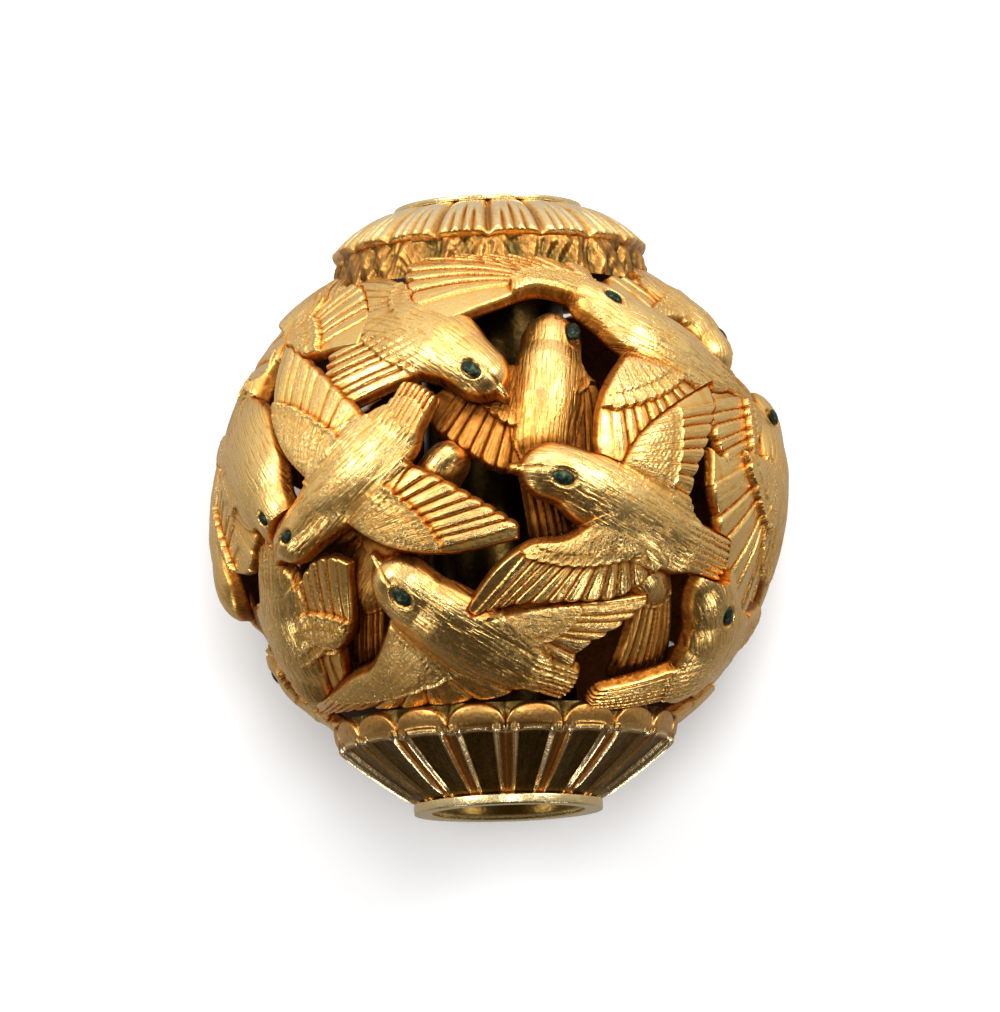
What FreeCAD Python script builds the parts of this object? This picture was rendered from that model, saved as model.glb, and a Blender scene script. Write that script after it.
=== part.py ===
import FreeCAD, Part
import math
import os

# Openwork bead of small birds. The cord bore runs along Y, +Z is up as the bead
# lies on its side, and the origin is the middle of the ball.
# Every length is in millimetres. Places on the ball are shares of its radius, or angles.

BALL_RADIUS = 8.0
CUT_OVERRUN = 0.5

# flock: a bird's level says how deep it lies, zero being the outermost
BODY_RELIEF = 0.7
LEVEL_STEP = 0.45
WING_THICKNESS = 0.5
FEATHER_THICKNESS = 0.36
BODY_RISE_PER_LEVEL = 0.12
BEAK_DROP = 0.25
RUMP_DROP = 0.1
BODY_HALF_HEIGHT = 0.6
DEEPEST_LEVEL = 2
EYE_DEPTH = 0.3
EYE_STANDS_PROUD = 0.05

# end collars, the petal discs at each end of the bore
UPPER_RIM_HEIGHT = 6.9
LOWER_RIM_HEIGHT = 6.42
UPPER_SEAT_HEIGHT = 6.25
LOWER_SEAT_HEIGHT = 5.8
BAND_CLEARANCE = 0.02
UPPER_FLARE = 0.15
LOWER_FLARE = 0.3
PETAL_LIP = 0.1
SEAT_WIDTH = 1.1
UPPER_RIM_RADIUS = 4.25
LOWER_RIM_RADIUS = 4.5
COLLAR_WALL = 0.6
COLLAR_NECK_RADIUS = 2.45
UPPER_NECK_HEIGHT = 8.05
LOWER_NECK_HEIGHT = 8.05
PETAL_COUNT = 18
UPPER_PETAL_BULGE = 0.15
LOWER_PETAL_BULGE = 0.04
UPPER_PETAL_SCOOP = 0.07
LOWER_PETAL_SCOOP = 0.16

# eyelets and the cord tube between them
BORE_RADIUS = 1.65
TUBE_WALL = 0.3
TUBE_HALF_LENGTH = 7.7
EYELET_SLEEVE_WALL = 0.3
EYELET_SLEEVE_LENGTH = 0.9
EYELET_FLANGE_RADIUS = 2.55
EYELET_MOUTH_RADIUS = 2.1
UPPER_FLANGE_HEIGHT = 0.15
LOWER_FLANGE_HEIGHT = 0.28

# the photograph's view, used to place the readings on the ball
VIEW_ELEVATION_DEG = 82.5
VIEW_ROLL_DEG = 2.0
VIEW_DISTANCE_SHARE = 31.0

# Each bird: level, spine from beak tip to rump, half widths along it, eye (place and size;
# None where a neighbour covers the head or the photograph shows no eye on it),
# tail (root, tip, half width at root and tip), wings (front edge, rear edge, feather count).
# Places are read off the photograph as shares of the ball radius, right and up of its middle.
SPARROW_SHARES = {
    "01": dict(level=0,
               spine=[(-0.79, -0.20), (-0.70, -0.09), (-0.61, 0.01), (-0.50, 0.13), (-0.39, 0.25), (-0.34, 0.30)],
               half=[0.01, 0.09, 0.112, 0.146, 0.123, 0.101],
               eye=(-0.71, -0.10, 0.026),
               tail=((-0.35, 0.28), (-0.28, 0.41), 0.08, 0.08),
               wings=[([(-0.54, -0.05), (-0.38, -0.14), (-0.16, -0.16), (0.07, -0.11)],
                       [(-0.36, 0.17), (-0.20, 0.09), (-0.04, 0.00), (0.07, -0.07)], 9),
                      ([(-0.62, 0.06), (-0.73, 0.16), (-0.79, 0.30), (-0.79, 0.46), (-0.76, 0.58)],
                       [(-0.44, 0.28), (-0.52, 0.36), (-0.63, 0.47), (-0.74, 0.57)], 8)]),
    "02": dict(level=0.5,
               spine=[(0.03, 0.39), (-0.09, 0.50), (-0.20, 0.58), (-0.29, 0.63), (-0.37, 0.66), (-0.41, 0.67)],
               half=[0.01, 0.112, 0.146, 0.146, 0.123, 0.101],
               eye=(-0.09, 0.46, 0.034),
               tail=((-0.30, 0.56), (-0.58, 0.45), 0.12, 0.15),
               wings=[([(-0.18, 0.67), (-0.26, 0.76), (-0.35, 0.81), (-0.45, 0.85)],
                       [(-0.36, 0.58), (-0.53, 0.62), (-0.53, 0.72), (-0.51, 0.82)], 8)]),
    "03": dict(level=0.05,
               spine=[(0.26, 0.79), (0.38, 0.71), (0.49, 0.64), (0.63, 0.57), (0.75, 0.50), (0.80, 0.47)],
               half=[0.01, 0.101, 0.134, 0.134, 0.123, 0.101],
               eye=(0.39, 0.71, 0.030),
               tail=((0.78, 0.47), (0.90, 0.39), 0.07, 0.06),
               wings=[([(0.38, 0.64), (0.30, 0.72), (0.14, 0.77), (-0.02, 0.72), (-0.17, 0.66)],
                       [(0.33, 0.83), (0.16, 0.87), (-0.05, 0.875), (-0.30, 0.845), (-0.28, 0.71)], 11),
                      ([(0.46, 0.55), (0.40, 0.46), (0.36, 0.36), (0.35, 0.23), (0.37, 0.15)],
                       [(0.75, 0.43), (0.68, 0.29), (0.55, 0.18), (0.41, 0.13)], 9)]),
    "04": dict(level=2,
               spine=[(0.19, 0.68), (0.19, 0.59), (0.18, 0.50), (0.17, 0.39), (0.16, 0.26), (0.16, 0.17)],
               half=[0.03, 0.112, 0.123, 0.134, 0.123, 0.101],
               eye=(0.25, 0.58, 0.034),
               tail=((0.16, 0.18), (0.22, -0.09), 0.09, 0.13),
               wings=[([(0.09, 0.50), (-0.03, 0.49), (-0.15, 0.45), (-0.25, 0.38)],
                       [(0.10, 0.13), (-0.01, 0.14), (-0.11, 0.20), (-0.23, 0.28)], 7),
                      ([(0.20, 0.70), (0.29, 0.62), (0.30, 0.50), (0.36, 0.42), (0.37, 0.30), (0.37, 0.18)],
                       [(0.20, 0.25), (0.24, 0.16), (0.29, 0.13), (0.35, 0.13)], 5)]),
    "05": dict(level=0,
               spine=[(0.05, 0.14), (0.22, 0.12), (0.34, 0.06), (0.49, -0.03), (0.64, -0.12), (0.69, -0.15)],
               half=[0.01, 0.101, 0.123, 0.134, 0.123, 0.112],
               eye=(0.22, 0.10, 0.036),
               tail=((0.68, -0.14), (0.80, -0.19), 0.09, 0.09),
               wings=[([(0.44, -0.02), (0.34, -0.05), (0.24, -0.11), (0.11, -0.13), (-0.01, -0.22), (-0.11, -0.36)],
                       [(0.58, -0.20), (0.43, -0.31), (0.24, -0.33), (0.06, -0.34), (-0.09, -0.38)], 12),
                      ([(0.42, 0.13), (0.50, 0.26), (0.62, 0.36), (0.75, 0.44)],
                       [(0.68, -0.03), (0.69, 0.09), (0.74, 0.23), (0.77, 0.37)], 8)]),
    "06": dict(level=0.5,
               spine=[(-0.44, -0.17), (-0.31, -0.31), (-0.20, -0.39), (-0.07, -0.47), (0.06, -0.55), (0.11, -0.58)],
               half=[0.01, 0.123, 0.134, 0.146, 0.123, 0.101],
               eye=(-0.32, -0.30, 0.036),
               tail=((0.10, -0.57), (0.25, -0.63), 0.08, 0.08),
               wings=[([(-0.37, -0.37), (-0.40, -0.47), (-0.45, -0.57), (-0.55, -0.63), (-0.68, -0.73)],
                       [(0.06, -0.66), (-0.16, -0.70), (-0.33, -0.72), (-0.52, -0.74), (-0.66, -0.75)], 10),
                      ([(-0.09, -0.40), (0.04, -0.37), (0.21, -0.34), (0.53, -0.31)],
                       [(0.10, -0.52), (0.23, -0.58), (0.30, -0.50), (0.40, -0.44), (0.48, -0.38), (0.53, -0.33)], 8)]),
    "07": dict(level=0.1,
               spine=[(0.72, -0.20), (0.77, -0.33), (0.78, -0.44), (0.75, -0.53), (0.69, -0.60), (0.65, -0.63)],
               half=[0.02, 0.134, 0.168, 0.179, 0.146, 0.112],
               eye=(0.78, -0.37, 0.034),
               tail=((0.69, -0.60), (0.36, -0.68), 0.10, 0.07),
               wings=[([(0.82, -0.36), (0.89, -0.37), (0.94, -0.34), (0.97, -0.29)],
                       [(0.72, -0.58), (0.80, -0.65), (0.89, -0.55), (0.94, -0.45), (0.97, -0.34)], 7)]),
    "08": dict(level=0.1,
               spine=[(-0.73, -0.12), (-0.80, -0.01), (-0.85, 0.09), (-0.90, 0.19), (-0.93, 0.27), (-0.94, 0.31)],
               half=[0.01, 0.112, 0.168, 0.19, 0.157, 0.112],
               eye=(-0.79, -0.04, 0.024),
               tail=((-0.93, 0.25), (-0.91, 0.40), 0.08, 0.08),
               wings=[([(-0.93, 0.12), (-1.00, 0.04), (-1.03, -0.10), (-0.99, -0.32), (-0.87, -0.56)],
                       [(-0.84, -0.02), (-0.87, -0.14), (-0.89, -0.30), (-0.83, -0.50)], 7),
                      ([(-0.92, 0.14), (-0.99, 0.12), (-1.03, 0.20)],
                       [(-0.92, 0.30), (-0.95, 0.37), (-1.01, 0.30)], 5)]),
    "09": dict(level=0.7,
               spine=[(-0.62, -0.76), (-0.70, -0.64), (-0.74, -0.53), (-0.77, -0.41), (-0.80, -0.29), (-0.81, -0.22)],
               half=[0.01, 0.112, 0.146, 0.157, 0.134, 0.112],
               eye=None,
               tail=((-0.80, -0.26), (-0.82, -0.10), 0.08, 0.10),
               wings=[([(-0.68, -0.50), (-0.56, -0.50), (-0.52, -0.40), (-0.53, -0.20)],
                       [(-0.74, -0.34), (-0.70, -0.25), (-0.65, -0.19), (-0.57, -0.18)], 6),
                      ([(-0.72, -0.46), (-0.64, -0.45), (-0.57, -0.50), (-0.55, -0.60)],
                       [(-0.72, -0.60), (-0.70, -0.67), (-0.64, -0.70), (-0.57, -0.66)], 5),
                      ([(-0.78, -0.36), (-0.86, -0.36), (-0.94, -0.40)],
                       [(-0.72, -0.64), (-0.79, -0.66), (-0.87, -0.58), (-0.94, -0.48)], 6)]),
    "10": dict(level=0.4,
               spine=[(-0.91, 0.30), (-0.88, 0.43), (-0.82, 0.55), (-0.74, 0.66), (-0.65, 0.76), (-0.57, 0.84)],
               half=[0.01, 0.101, 0.134, 0.134, 0.112, 0.101],
               eye=None,
               tail=((-0.64, 0.75), (-0.52, 0.87), 0.09, 0.10),
               wings=[([(-0.80, 0.50), (-0.70, 0.53), (-0.60, 0.56), (-0.50, 0.58)],
                       [(-0.66, 0.74), (-0.58, 0.80), (-0.50, 0.80), (-0.46, 0.68)], 7),
                      ([(-0.86, 0.48), (-0.93, 0.46), (-0.98, 0.38)],
                       [(-0.70, 0.70), (-0.76, 0.71), (-0.85, 0.62), (-0.95, 0.48)], 7)]),
    "11": dict(level=0.5,
               spine=[(0.83, 0.50), (0.78, 0.59), (0.73, 0.66), (0.67, 0.72), (0.61, 0.78), (0.55, 0.84)],
               half=[0.01, 0.101, 0.134, 0.146, 0.123, 0.112],
               eye=(0.78, 0.60, 0.026),
               tail=((0.62, 0.76), (0.50, 0.87), 0.10, 0.12),
               wings=[([(0.70, 0.66), (0.60, 0.68), (0.50, 0.70), (0.40, 0.76)],
                       [(0.64, 0.78), (0.56, 0.82), (0.48, 0.84), (0.40, 0.84)], 7),
                      ([(0.76, 0.60), (0.85, 0.58), (0.94, 0.48)],
                       [(0.64, 0.74), (0.71, 0.76), (0.81, 0.69), (0.93, 0.54)], 7)]),
    "12": dict(level=0.08,
               spine=[(0.92, 0.40), (0.96, 0.28), (0.985, 0.14), (0.99, 0.0), (0.98, -0.14), (0.97, -0.20)],
               half=[0.01, 0.123, 0.168, 0.179, 0.146, 0.112],
               eye=(0.95, 0.31, 0.03),
               tail=((0.98, -0.14), (0.92, -0.42), 0.09, 0.11),
               wings=[([(0.97, 0.14), (0.88, 0.20), (0.80, 0.18), (0.76, 0.21)],
                       [(0.96, -0.14), (0.90, -0.36), (0.84, -0.34), (0.80, -0.14), (0.76, 0.08)], 8),
                      ([(0.93, 0.22), (0.92, 0.34), (0.86, 0.42), (0.77, 0.43)],
                       [(0.88, 0.10), (0.84, 0.14), (0.78, 0.24), (0.75, 0.38)], 7),
                      ([(1.00, 0.16), (1.02, 0.26), (1.06, 0.28)],
                       [(0.99, -0.12), (1.02, -0.14), (1.06, -0.02), (1.07, 0.16)], 7)]),
    "13": dict(level=2,
               spine=[(-0.12, 0.22), (-0.19, 0.15), (-0.27, 0.02), (-0.36, -0.14), (-0.44, -0.26), (-0.47, -0.31)],
               half=[0.03, 0.09, 0.112, 0.123, 0.112, 0.09],
               eye=None,
               tail=((-0.46, -0.30), (-0.48, -0.57), 0.07, 0.12),
               wings=[([(-0.34, -0.05), (-0.48, -0.04), (-0.62, -0.09)],
                       [(-0.42, -0.22), (-0.52, -0.19), (-0.61, -0.15)], 4)]),
    "14": dict(level=1.3,
               spine=[(0.33, 0.06), (0.40, -0.06), (0.46, -0.16), (0.52, -0.24), (0.56, -0.29), (0.57, -0.31)],
               half=[0.01, 0.08, 0.1, 0.1, 0.06, 0.04],
               eye=None,
               tail=((0.56, -0.28), (0.52, -0.60), 0.04, 0.15),
               wings=[]),
}
# where the long feathers come out of a wing: how far along it, how far from its front to its rear edge
QUILL_LINE_SHARES = [(0.72, 0.08), (0.38, 0.38), (0.06, 0.44)]
# the far side repeats these birds turned through the middle of the ball
TWIN_OF = {"15": "01", "16": "02", "17": "03", "18": "04", "19": "05", "20": "06", "21": "07",
           "22": "08", "23": "09", "24": "10", "25": "11", "26": "12", "27": "13"}

PETAL_OPEN_SHARE = 0.8
BOWL_SHARE = 0.35
# shape shares of one feather edge: how far along the edge, how far out
FEATHER_EDGE_SHARES = [(0.0, -0.05), (0.25, 0.03), (0.5, 0.05), (0.75, 0.03)]
TAIL_BULGE_SHARE = 0.05
TAIL_FEATHERS = 6
BEAK_STATION_SHARE = 0.4
BEAK_WIDTH_SHARE = 0.36
ARCH_STEPS = 8
PRISM_INSIDE_SHARE = 0.6
PRISM_OUTSIDE_SHARE = 1.25
SAME_PLACE_SHARE = 0.01


def vec(x, y, z):
    return FreeCAD.Vector(x, y, z)


def unit(v):
    w = FreeCAD.Vector(v)
    w.normalize()
    return w


def on_ball(place, radius):
    """Direction from the middle of the ball to a place read off the photograph at that radius.

    A deeper place shows nearer the ball's middle, so it is spread, less towards the ball's edge.
    A place more than one share out lies as far past the ball's edge, on its far side.
    """
    roll = math.radians(VIEW_ROLL_DEG)
    x0 = place[0] * math.cos(roll) + place[1] * math.sin(roll)
    y0 = place[1] * math.cos(roll) - place[0] * math.sin(roll)
    out = math.hypot(x0, y0)
    side = 1
    if out > 1:
        x0, y0, side = x0 * (2 - out) / out, y0 * (2 - out) / out, -1
    else:
        spread = 1 + (BALL_RADIUS / radius - 1) * (1 - out ** 4)
        x0, y0 = x0 * spread, y0 * spread
    z = side * math.sqrt(max(0.0, 1 - x0 * x0 - y0 * y0))
    for _ in range(3):
        nearer = 1 - z / VIEW_DISTANCE_SHARE
        x, y = x0 * nearer, y0 * nearer
        z = side * math.sqrt(max(0.0, 1 - x * x - y * y))
    tilt = math.radians(VIEW_ELEVATION_DEG)
    return unit(vec(x, y * math.sin(tilt) - z * math.cos(tilt), y * math.cos(tilt) + z * math.sin(tilt)))


def sideways(centre, along):
    return unit(along.cross(centre))


def read_bird(row):
    """The bird's places as directions."""
    root, tip, root_half, tip_half = row["tail"]
    seen = floor_radius(row["level"]) + WING_THICKNESS
    return dict(level=row["level"],
                spine=[on_ball(p, seen) for p in row["spine"]],
                half=row["half"],
                eye=row["eye"] and (on_ball(row["eye"][:2], seen), row["eye"][2]),
                tail=(on_ball(root, seen), on_ball(tip, seen), root_half, tip_half),
                wings=[([on_ball(p, seen) for p in lead], [on_ball(p, seen) for p in rear], count)
                       for lead, rear, count in row["wings"]])


def through_middle(bird):
    root, tip, root_half, tip_half = bird["tail"]
    return dict(level=bird["level"],
                spine=[p * -1 for p in bird["spine"]],
                half=bird["half"],
                eye=bird["eye"] and (bird["eye"][0] * -1, bird["eye"][1]),
                tail=(root * -1, tip * -1, root_half, tip_half),
                wings=[([p * -1 for p in lead], [p * -1 for p in rear], count)
                       for lead, rear, count in bird["wings"]])


def floor_radius(level):
    return BALL_RADIUS - BODY_RELIEF - level * LEVEL_STEP


def crest_radius(level):
    return floor_radius(level) + BODY_RELIEF + level * BODY_RISE_PER_LEVEL


def first_part(points, share):
    """A line of directions up to a share of its length."""
    lengths = [(b - a).Length for a, b in zip(points, points[1:])]
    left = share * sum(lengths)
    kept = [points[0]]
    for a, b, length in zip(points, points[1:], lengths):
        if left <= length:
            return kept + [unit(a + (b - a) * (left / length))]
        kept.append(b)
        left -= length
    return kept


def along_edge(points, share):
    """A direction at a share of the way along a line of directions."""
    return first_part(points, share)[-1]


def body_outline(bird):
    spine, half, _ = body_stations(bird)
    left, right = [], []
    for i, centre in enumerate(spine):
        along = spine[min(i + 1, len(spine) - 1)] - spine[max(i - 1, 0)]
        side = sideways(centre, along)
        left.append(unit(centre + side * half[i]))
        right.append(unit(centre - side * half[i]))
    return left + right[::-1]


def feathered_edge(rear, inner, count):
    """The rear edge of a wing with one rounded step for each feather."""
    edge = []
    for k in range(count):
        for share, out in FEATHER_EDGE_SHARES:
            t = (k + share) / count
            place = along_edge(rear, t)
            edge.append(unit(place + (place - inner) * out))
    edge.append(rear[-1])
    return edge


def wing_outline(wing):
    lead, rear, count = wing
    inner = lead[0]
    for p in lead[1:]:
        inner = inner + p
    return lead + feathered_edge(rear, unit(inner), count)[::-1]


def arm_outline(wing):
    """The raised part of a wing, from its front edge to where the long feathers come out."""
    lead, rear, _ = wing
    quills = []
    for along, back in QUILL_LINE_SHARES:
        quills.append(unit(along_edge(lead, along) * (1 - back) + along_edge(rear, along) * back))
    return first_part(lead, QUILL_LINE_SHARES[0][0]) + quills


def tail_outline(bird):
    root, tip, root_half, tip_half = bird["tail"]
    along = tip - root
    side = sideways(tip, along)
    edge = []
    for k in range(TAIL_FEATHERS + 1):
        across = 1 - 2 * k / TAIL_FEATHERS
        bulge = TAIL_BULGE_SHARE * math.cos(math.pi * across / 2)
        edge.append(unit(tip + side * tip_half * across + unit(along) * bulge))
    root_side = sideways(root, along)
    return [unit(root + root_side * root_half)] + edge + [unit(root - root_side * root_half)]


def no_repeats(outline):
    kept = []
    for p in outline:
        if not kept or (p - kept[-1]).Length > SAME_PLACE_SHARE:
            kept.append(p)
    while (kept[0] - kept[-1]).Length <= SAME_PLACE_SHARE:
        kept.pop()
    return kept


def flat_face(points):
    return Part.Face(Part.makePolygon(points + points[:1]))


def radial_prism(outline, from_radius, to_radius):
    """A solid with flat sides that all point at the middle of the ball."""
    outline = no_repeats(outline)
    middle = vec(0, 0, 0)
    for p in outline:
        middle = middle + p
    middle = unit(middle)
    flat = [p * (1 / p.dot(middle)) for p in outline]
    inner = [p * from_radius for p in flat]
    outer = [p * to_radius for p in flat]
    faces = [flat_face(inner), flat_face(outer)]
    for i in range(len(flat)):
        faces.append(flat_face([inner[i - 1], inner[i], outer[i], outer[i - 1]]))
    return solid_from(faces)


def smallest_cosine(outline):
    middle = vec(0, 0, 0)
    for p in outline:
        middle = middle + p
    middle = unit(middle)
    return min(p.dot(middle) for p in outline)


def sheet(outlines, bottom, top):
    """The wings and tail as one piece of ball-shaped sheet, still solid underneath."""
    prisms = []
    for outline in outlines:
        inside = bottom * smallest_cosine(outline) * PRISM_INSIDE_SHARE
        prisms.append(radial_prism(outline, inside, top + CUT_OVERRUN))
    joined = prisms[0].multiFuse(prisms[1:]) if len(prisms) > 1 else prisms[0]
    return joined.common(Part.makeSphere(top))


def body_section(centre, along, half_share, top):
    """An arch across the spine on radial side walls, closed well below the floor."""
    side = sideways(centre, along)
    arch_base = top - BODY_HALF_HEIGHT
    under = arch_base - BODY_RELIEF
    points = [(centre - side * half_share) * under, (centre + side * half_share) * under]
    for k in range(ARCH_STEPS + 1):
        angle = math.pi * k / ARCH_STEPS
        across = side * (half_share * arch_base * math.cos(angle))
        points.append(centre * (arch_base + BODY_HALF_HEIGHT * math.sin(angle)) + across)
    return points


def body_stations(bird):
    """Spine stations with half width shares and crest radii, a beak station added."""
    crest = crest_radius(bird["level"])
    spine, half = bird["spine"], list(bird["half"])
    tops = [crest - BEAK_DROP] + [crest] * (len(spine) - 2) + [crest - RUMP_DROP]
    beak = unit(spine[0] * (1 - BEAK_STATION_SHARE) + spine[1] * BEAK_STATION_SHARE)
    spine = [spine[0], beak] + spine[1:]
    half = [half[0], half[1] * BEAK_WIDTH_SHARE] + half[1:]
    tops = [tops[0], crest - BEAK_DROP] + tops[1:]
    return spine, half, tops


def solid_from(faces):
    solid = Part.Solid(Part.Shell(faces))
    if solid.Volume < 0:
        solid.reverse()
    return solid


def bird_body(bird):
    """The body as flat facets between arches along the spine."""
    spine, half, tops = body_stations(bird)
    sections = []
    for i, centre in enumerate(spine):
        along = spine[min(i + 1, len(spine) - 1)] - spine[max(i - 1, 0)]
        sections.append(body_section(centre, along, half[i], tops[i]))
    faces = [flat_face(sections[0]), flat_face(sections[-1])]
    for a, b in zip(sections, sections[1:]):
        for k in range(len(a)):
            faces.append(flat_face([a[k - 1], a[k], b[k]]))
            faces.append(flat_face([a[k - 1], b[k], b[k - 1]]))
    return solid_from(faces)


def bird_cuts(bird):
    """Radial prisms over the whole bird, from its floor outwards."""
    low = floor_radius(bird["level"])
    high = BALL_RADIUS * PRISM_OUTSIDE_SHARE
    outlines = [body_outline(bird), tail_outline(bird)] + [wing_outline(w) for w in bird["wings"]]
    cutters = []
    for outline in outlines:
        inside = low * smallest_cosine(outline) * PRISM_INSIDE_SHARE
        prism = radial_prism(outline, inside, high)
        cutters.append(prism.cut(Part.makeSphere(low)))
    return cutters


def biggest_solid(shape):
    return max(shape.Solids, key=lambda s: s.Volume)


def raw_bird(bird):
    """Body, wings and tail in one, hollowed by the floor of the bird's level."""
    low = floor_radius(bird["level"])
    outlines = [tail_outline(bird)] + [wing_outline(w) for w in bird["wings"]]
    parts = [sheet(outlines, low, low + FEATHER_THICKNESS)]
    if bird["wings"]:
        parts.append(sheet([arm_outline(w) for w in bird["wings"]], low, low + WING_THICKNESS))
    return bird_body(bird).multiFuse(parts).cut(Part.makeSphere(low))


def trimmed_bird(bird, covers):
    """The bird cut back where a bird above it takes the room."""
    shape = raw_bird(bird)
    near = [c for c in covers if c.BoundBox.intersect(shape.BoundBox)]
    return biggest_solid(shape.cut(near)) if near else shape


def reflected(shape):
    for normal in (vec(1, 0, 0), vec(0, 1, 0), vec(0, 0, 1)):
        shape = shape.mirror(vec(0, 0, 0), normal)
    return shape


def surface_radius(shape, direction):
    ray = Part.makeLine(direction * floor_radius(DEEPEST_LEVEL), direction * (BALL_RADIUS + CUT_OVERRUN))
    return max(v.Point.Length for v in shape.common(ray).Vertexes)


def turned_to(shape, base, direction):
    shape.Placement = FreeCAD.Placement(base, FreeCAD.Rotation(vec(0, 0, 1), direction))
    return shape


def eye_pellet(bird, surface):
    """A small pin with a domed top, seated in its drilled socket."""
    direction, share = bird["eye"]
    radius = share * BALL_RADIUS
    pin = Part.makeLine(vec(0, 0, 0), vec(radius, 0, 0))
    side = Part.makeLine(vec(radius, 0, 0), vec(radius, 0, EYE_DEPTH))
    crown = EYE_DEPTH + EYE_STANDS_PROUD
    dome_radius = (radius * radius + EYE_STANDS_PROUD * EYE_STANDS_PROUD) / (2 * EYE_STANDS_PROUD)
    lean = math.asin(radius / dome_radius) / 2
    shoulder = vec(dome_radius * math.sin(lean), 0, crown - dome_radius * (1 - math.cos(lean)))
    dome = Part.Arc(vec(radius, 0, EYE_DEPTH), shoulder, vec(0, 0, crown)).toShape()
    axis = Part.makeLine(vec(0, 0, crown), vec(0, 0, 0))
    pellet = Part.Face(Part.Wire([pin, side, dome, axis])).revolve(vec(0, 0, 0), vec(0, 0, 1), 360)
    return turned_to(pellet, direction * (surface - EYE_DEPTH), direction)


def eye_socket(bird, surface):
    direction, share = bird["eye"]
    socket = Part.makeCylinder(share * BALL_RADIUS, EYE_DEPTH + CUT_OVERRUN)
    return turned_to(socket, direction * (surface - EYE_DEPTH), direction)


def lathe(edges):
    """A closed half profile in the XY plane turned about the bore axis."""
    face = Part.Face(Part.Wire(edges))
    return face.revolve(vec(0, 0, 0), vec(0, 1, 0), 360)


def lines_through(points):
    return [Part.makeLine(a, b) for a, b in zip(points, points[1:])]


def flared_skirt(seat_height, rim_height, rim_radius, flare):
    """The ends of the sloping skirt under a rim, from its seat on the birds to the rim."""
    top = vec(rim_radius - PETAL_LIP, rim_height, 0)
    return vec(top.x + flare, seat_height, 0), top


def collar_blank(skirt, rim_radius, neck_height, bulge):
    """The turned collar before its petals are cut, with the ends of a petal and its outward way."""
    seat, top = skirt
    sleeve_radius = BORE_RADIUS + TUBE_WALL + EYELET_SLEEVE_WALL
    inner = vec(seat.x - SEAT_WIDTH, seat.y, 0)
    under_rim = vec(rim_radius, top.y, 0)
    rim = vec(rim_radius, top.y + PETAL_LIP, 0)
    neck = vec(COLLAR_NECK_RADIUS, neck_height, 0)
    inside = [neck, vec(sleeve_radius, neck_height, 0), vec(sleeve_radius, neck_height - COLLAR_WALL, 0),
              inner, seat]
    slope = neck - rim
    outward = unit(vec(-slope.y, slope.x, 0)) * -1
    crown = Part.Arc(rim, (rim + neck) * 0.5 + outward * bulge, neck).toShape()
    edges = lines_through([seat, top, under_rim, rim]) + [crown] + lines_through(inside)
    return lathe(edges), rim, neck, outward


def petal_scoop(rim, neck, outward, depth, turn):
    """A tapered round cutter lying along the middle of one petal."""
    share = math.pi / PETAL_COUNT
    wide, narrow = rim.x * share * PETAL_OPEN_SHARE, neck.x * share * PETAL_OPEN_SHARE
    shallow = depth * narrow / wide
    big = (wide * wide + depth * depth) / (2 * depth)
    small = (narrow * narrow + shallow * shallow) / (2 * shallow)
    start = rim + outward * (big - depth)
    end = neck + outward * (small - shallow)
    cutter = Part.makeCone(big, small, (end - start).Length, start, end - start)
    cutter.rotate(vec(0, 0, 0), vec(0, 1, 0), turn)
    return cutter


def petal_collar(skirt, rim_radius, neck_height, bulge, scoop):
    blank, rim, neck, outward = collar_blank(skirt, rim_radius, neck_height, bulge)
    turns = [360 * k / PETAL_COUNT for k in range(PETAL_COUNT)]
    return blank.cut([petal_scoop(rim, neck, outward, scoop, turn) for turn in turns])


def eyelet(neck_height, flange_height):
    tube_radius = BORE_RADIUS + TUBE_WALL
    sleeve_radius = tube_radius + EYELET_SLEEVE_WALL
    face_height = neck_height + flange_height
    outside = [vec(BORE_RADIUS, TUBE_HALF_LENGTH, 0), vec(tube_radius, TUBE_HALF_LENGTH, 0),
               vec(tube_radius, neck_height - EYELET_SLEEVE_LENGTH, 0),
               vec(sleeve_radius, neck_height - EYELET_SLEEVE_LENGTH, 0), vec(sleeve_radius, neck_height, 0),
               vec(EYELET_FLANGE_RADIUS, neck_height, 0), vec(EYELET_FLANGE_RADIUS, face_height, 0),
               vec(EYELET_MOUTH_RADIUS, face_height, 0)]
    drop = face_height - TUBE_HALF_LENGTH
    bowl = vec(EYELET_MOUTH_RADIUS - (EYELET_MOUTH_RADIUS - BORE_RADIUS) * BOWL_SHARE,
               face_height - drop * (1 - BOWL_SHARE), 0)
    mouth = Part.Arc(outside[-1], bowl, outside[0]).toShape()
    return lathe(lines_through(outside) + [mouth])


def cord_tube():
    length = 2 * TUBE_HALF_LENGTH
    outside = Part.makeCylinder(BORE_RADIUS + TUBE_WALL, length, vec(0, -TUBE_HALF_LENGTH, 0), vec(0, 1, 0))
    bore = Part.makeCylinder(BORE_RADIUS, length, vec(0, -TUBE_HALF_LENGTH, 0), vec(0, 1, 0))
    return outside.cut(bore)


def lower_end(shape):
    shape.rotate(vec(0, 0, 0), vec(1, 0, 0), 180)
    return shape


def end_room(skirt):
    """The room that a collar takes from the birds: its skirt and all that is above its rim."""
    seat, top = skirt
    wide = BALL_RADIUS * PRISM_OUTSIDE_SHARE
    edge = [vec(0, seat.y, 0), vec(seat.x + BAND_CLEARANCE, seat.y, 0), vec(top.x + BAND_CLEARANCE, top.y, 0),
            vec(wide, top.y, 0), vec(wide, wide, 0), vec(0, wide, 0), vec(0, seat.y, 0)]
    return lathe(lines_through(edge))


def upper_skirt():
    return flared_skirt(UPPER_SEAT_HEIGHT, UPPER_RIM_HEIGHT, UPPER_RIM_RADIUS, UPPER_FLARE)


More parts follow.
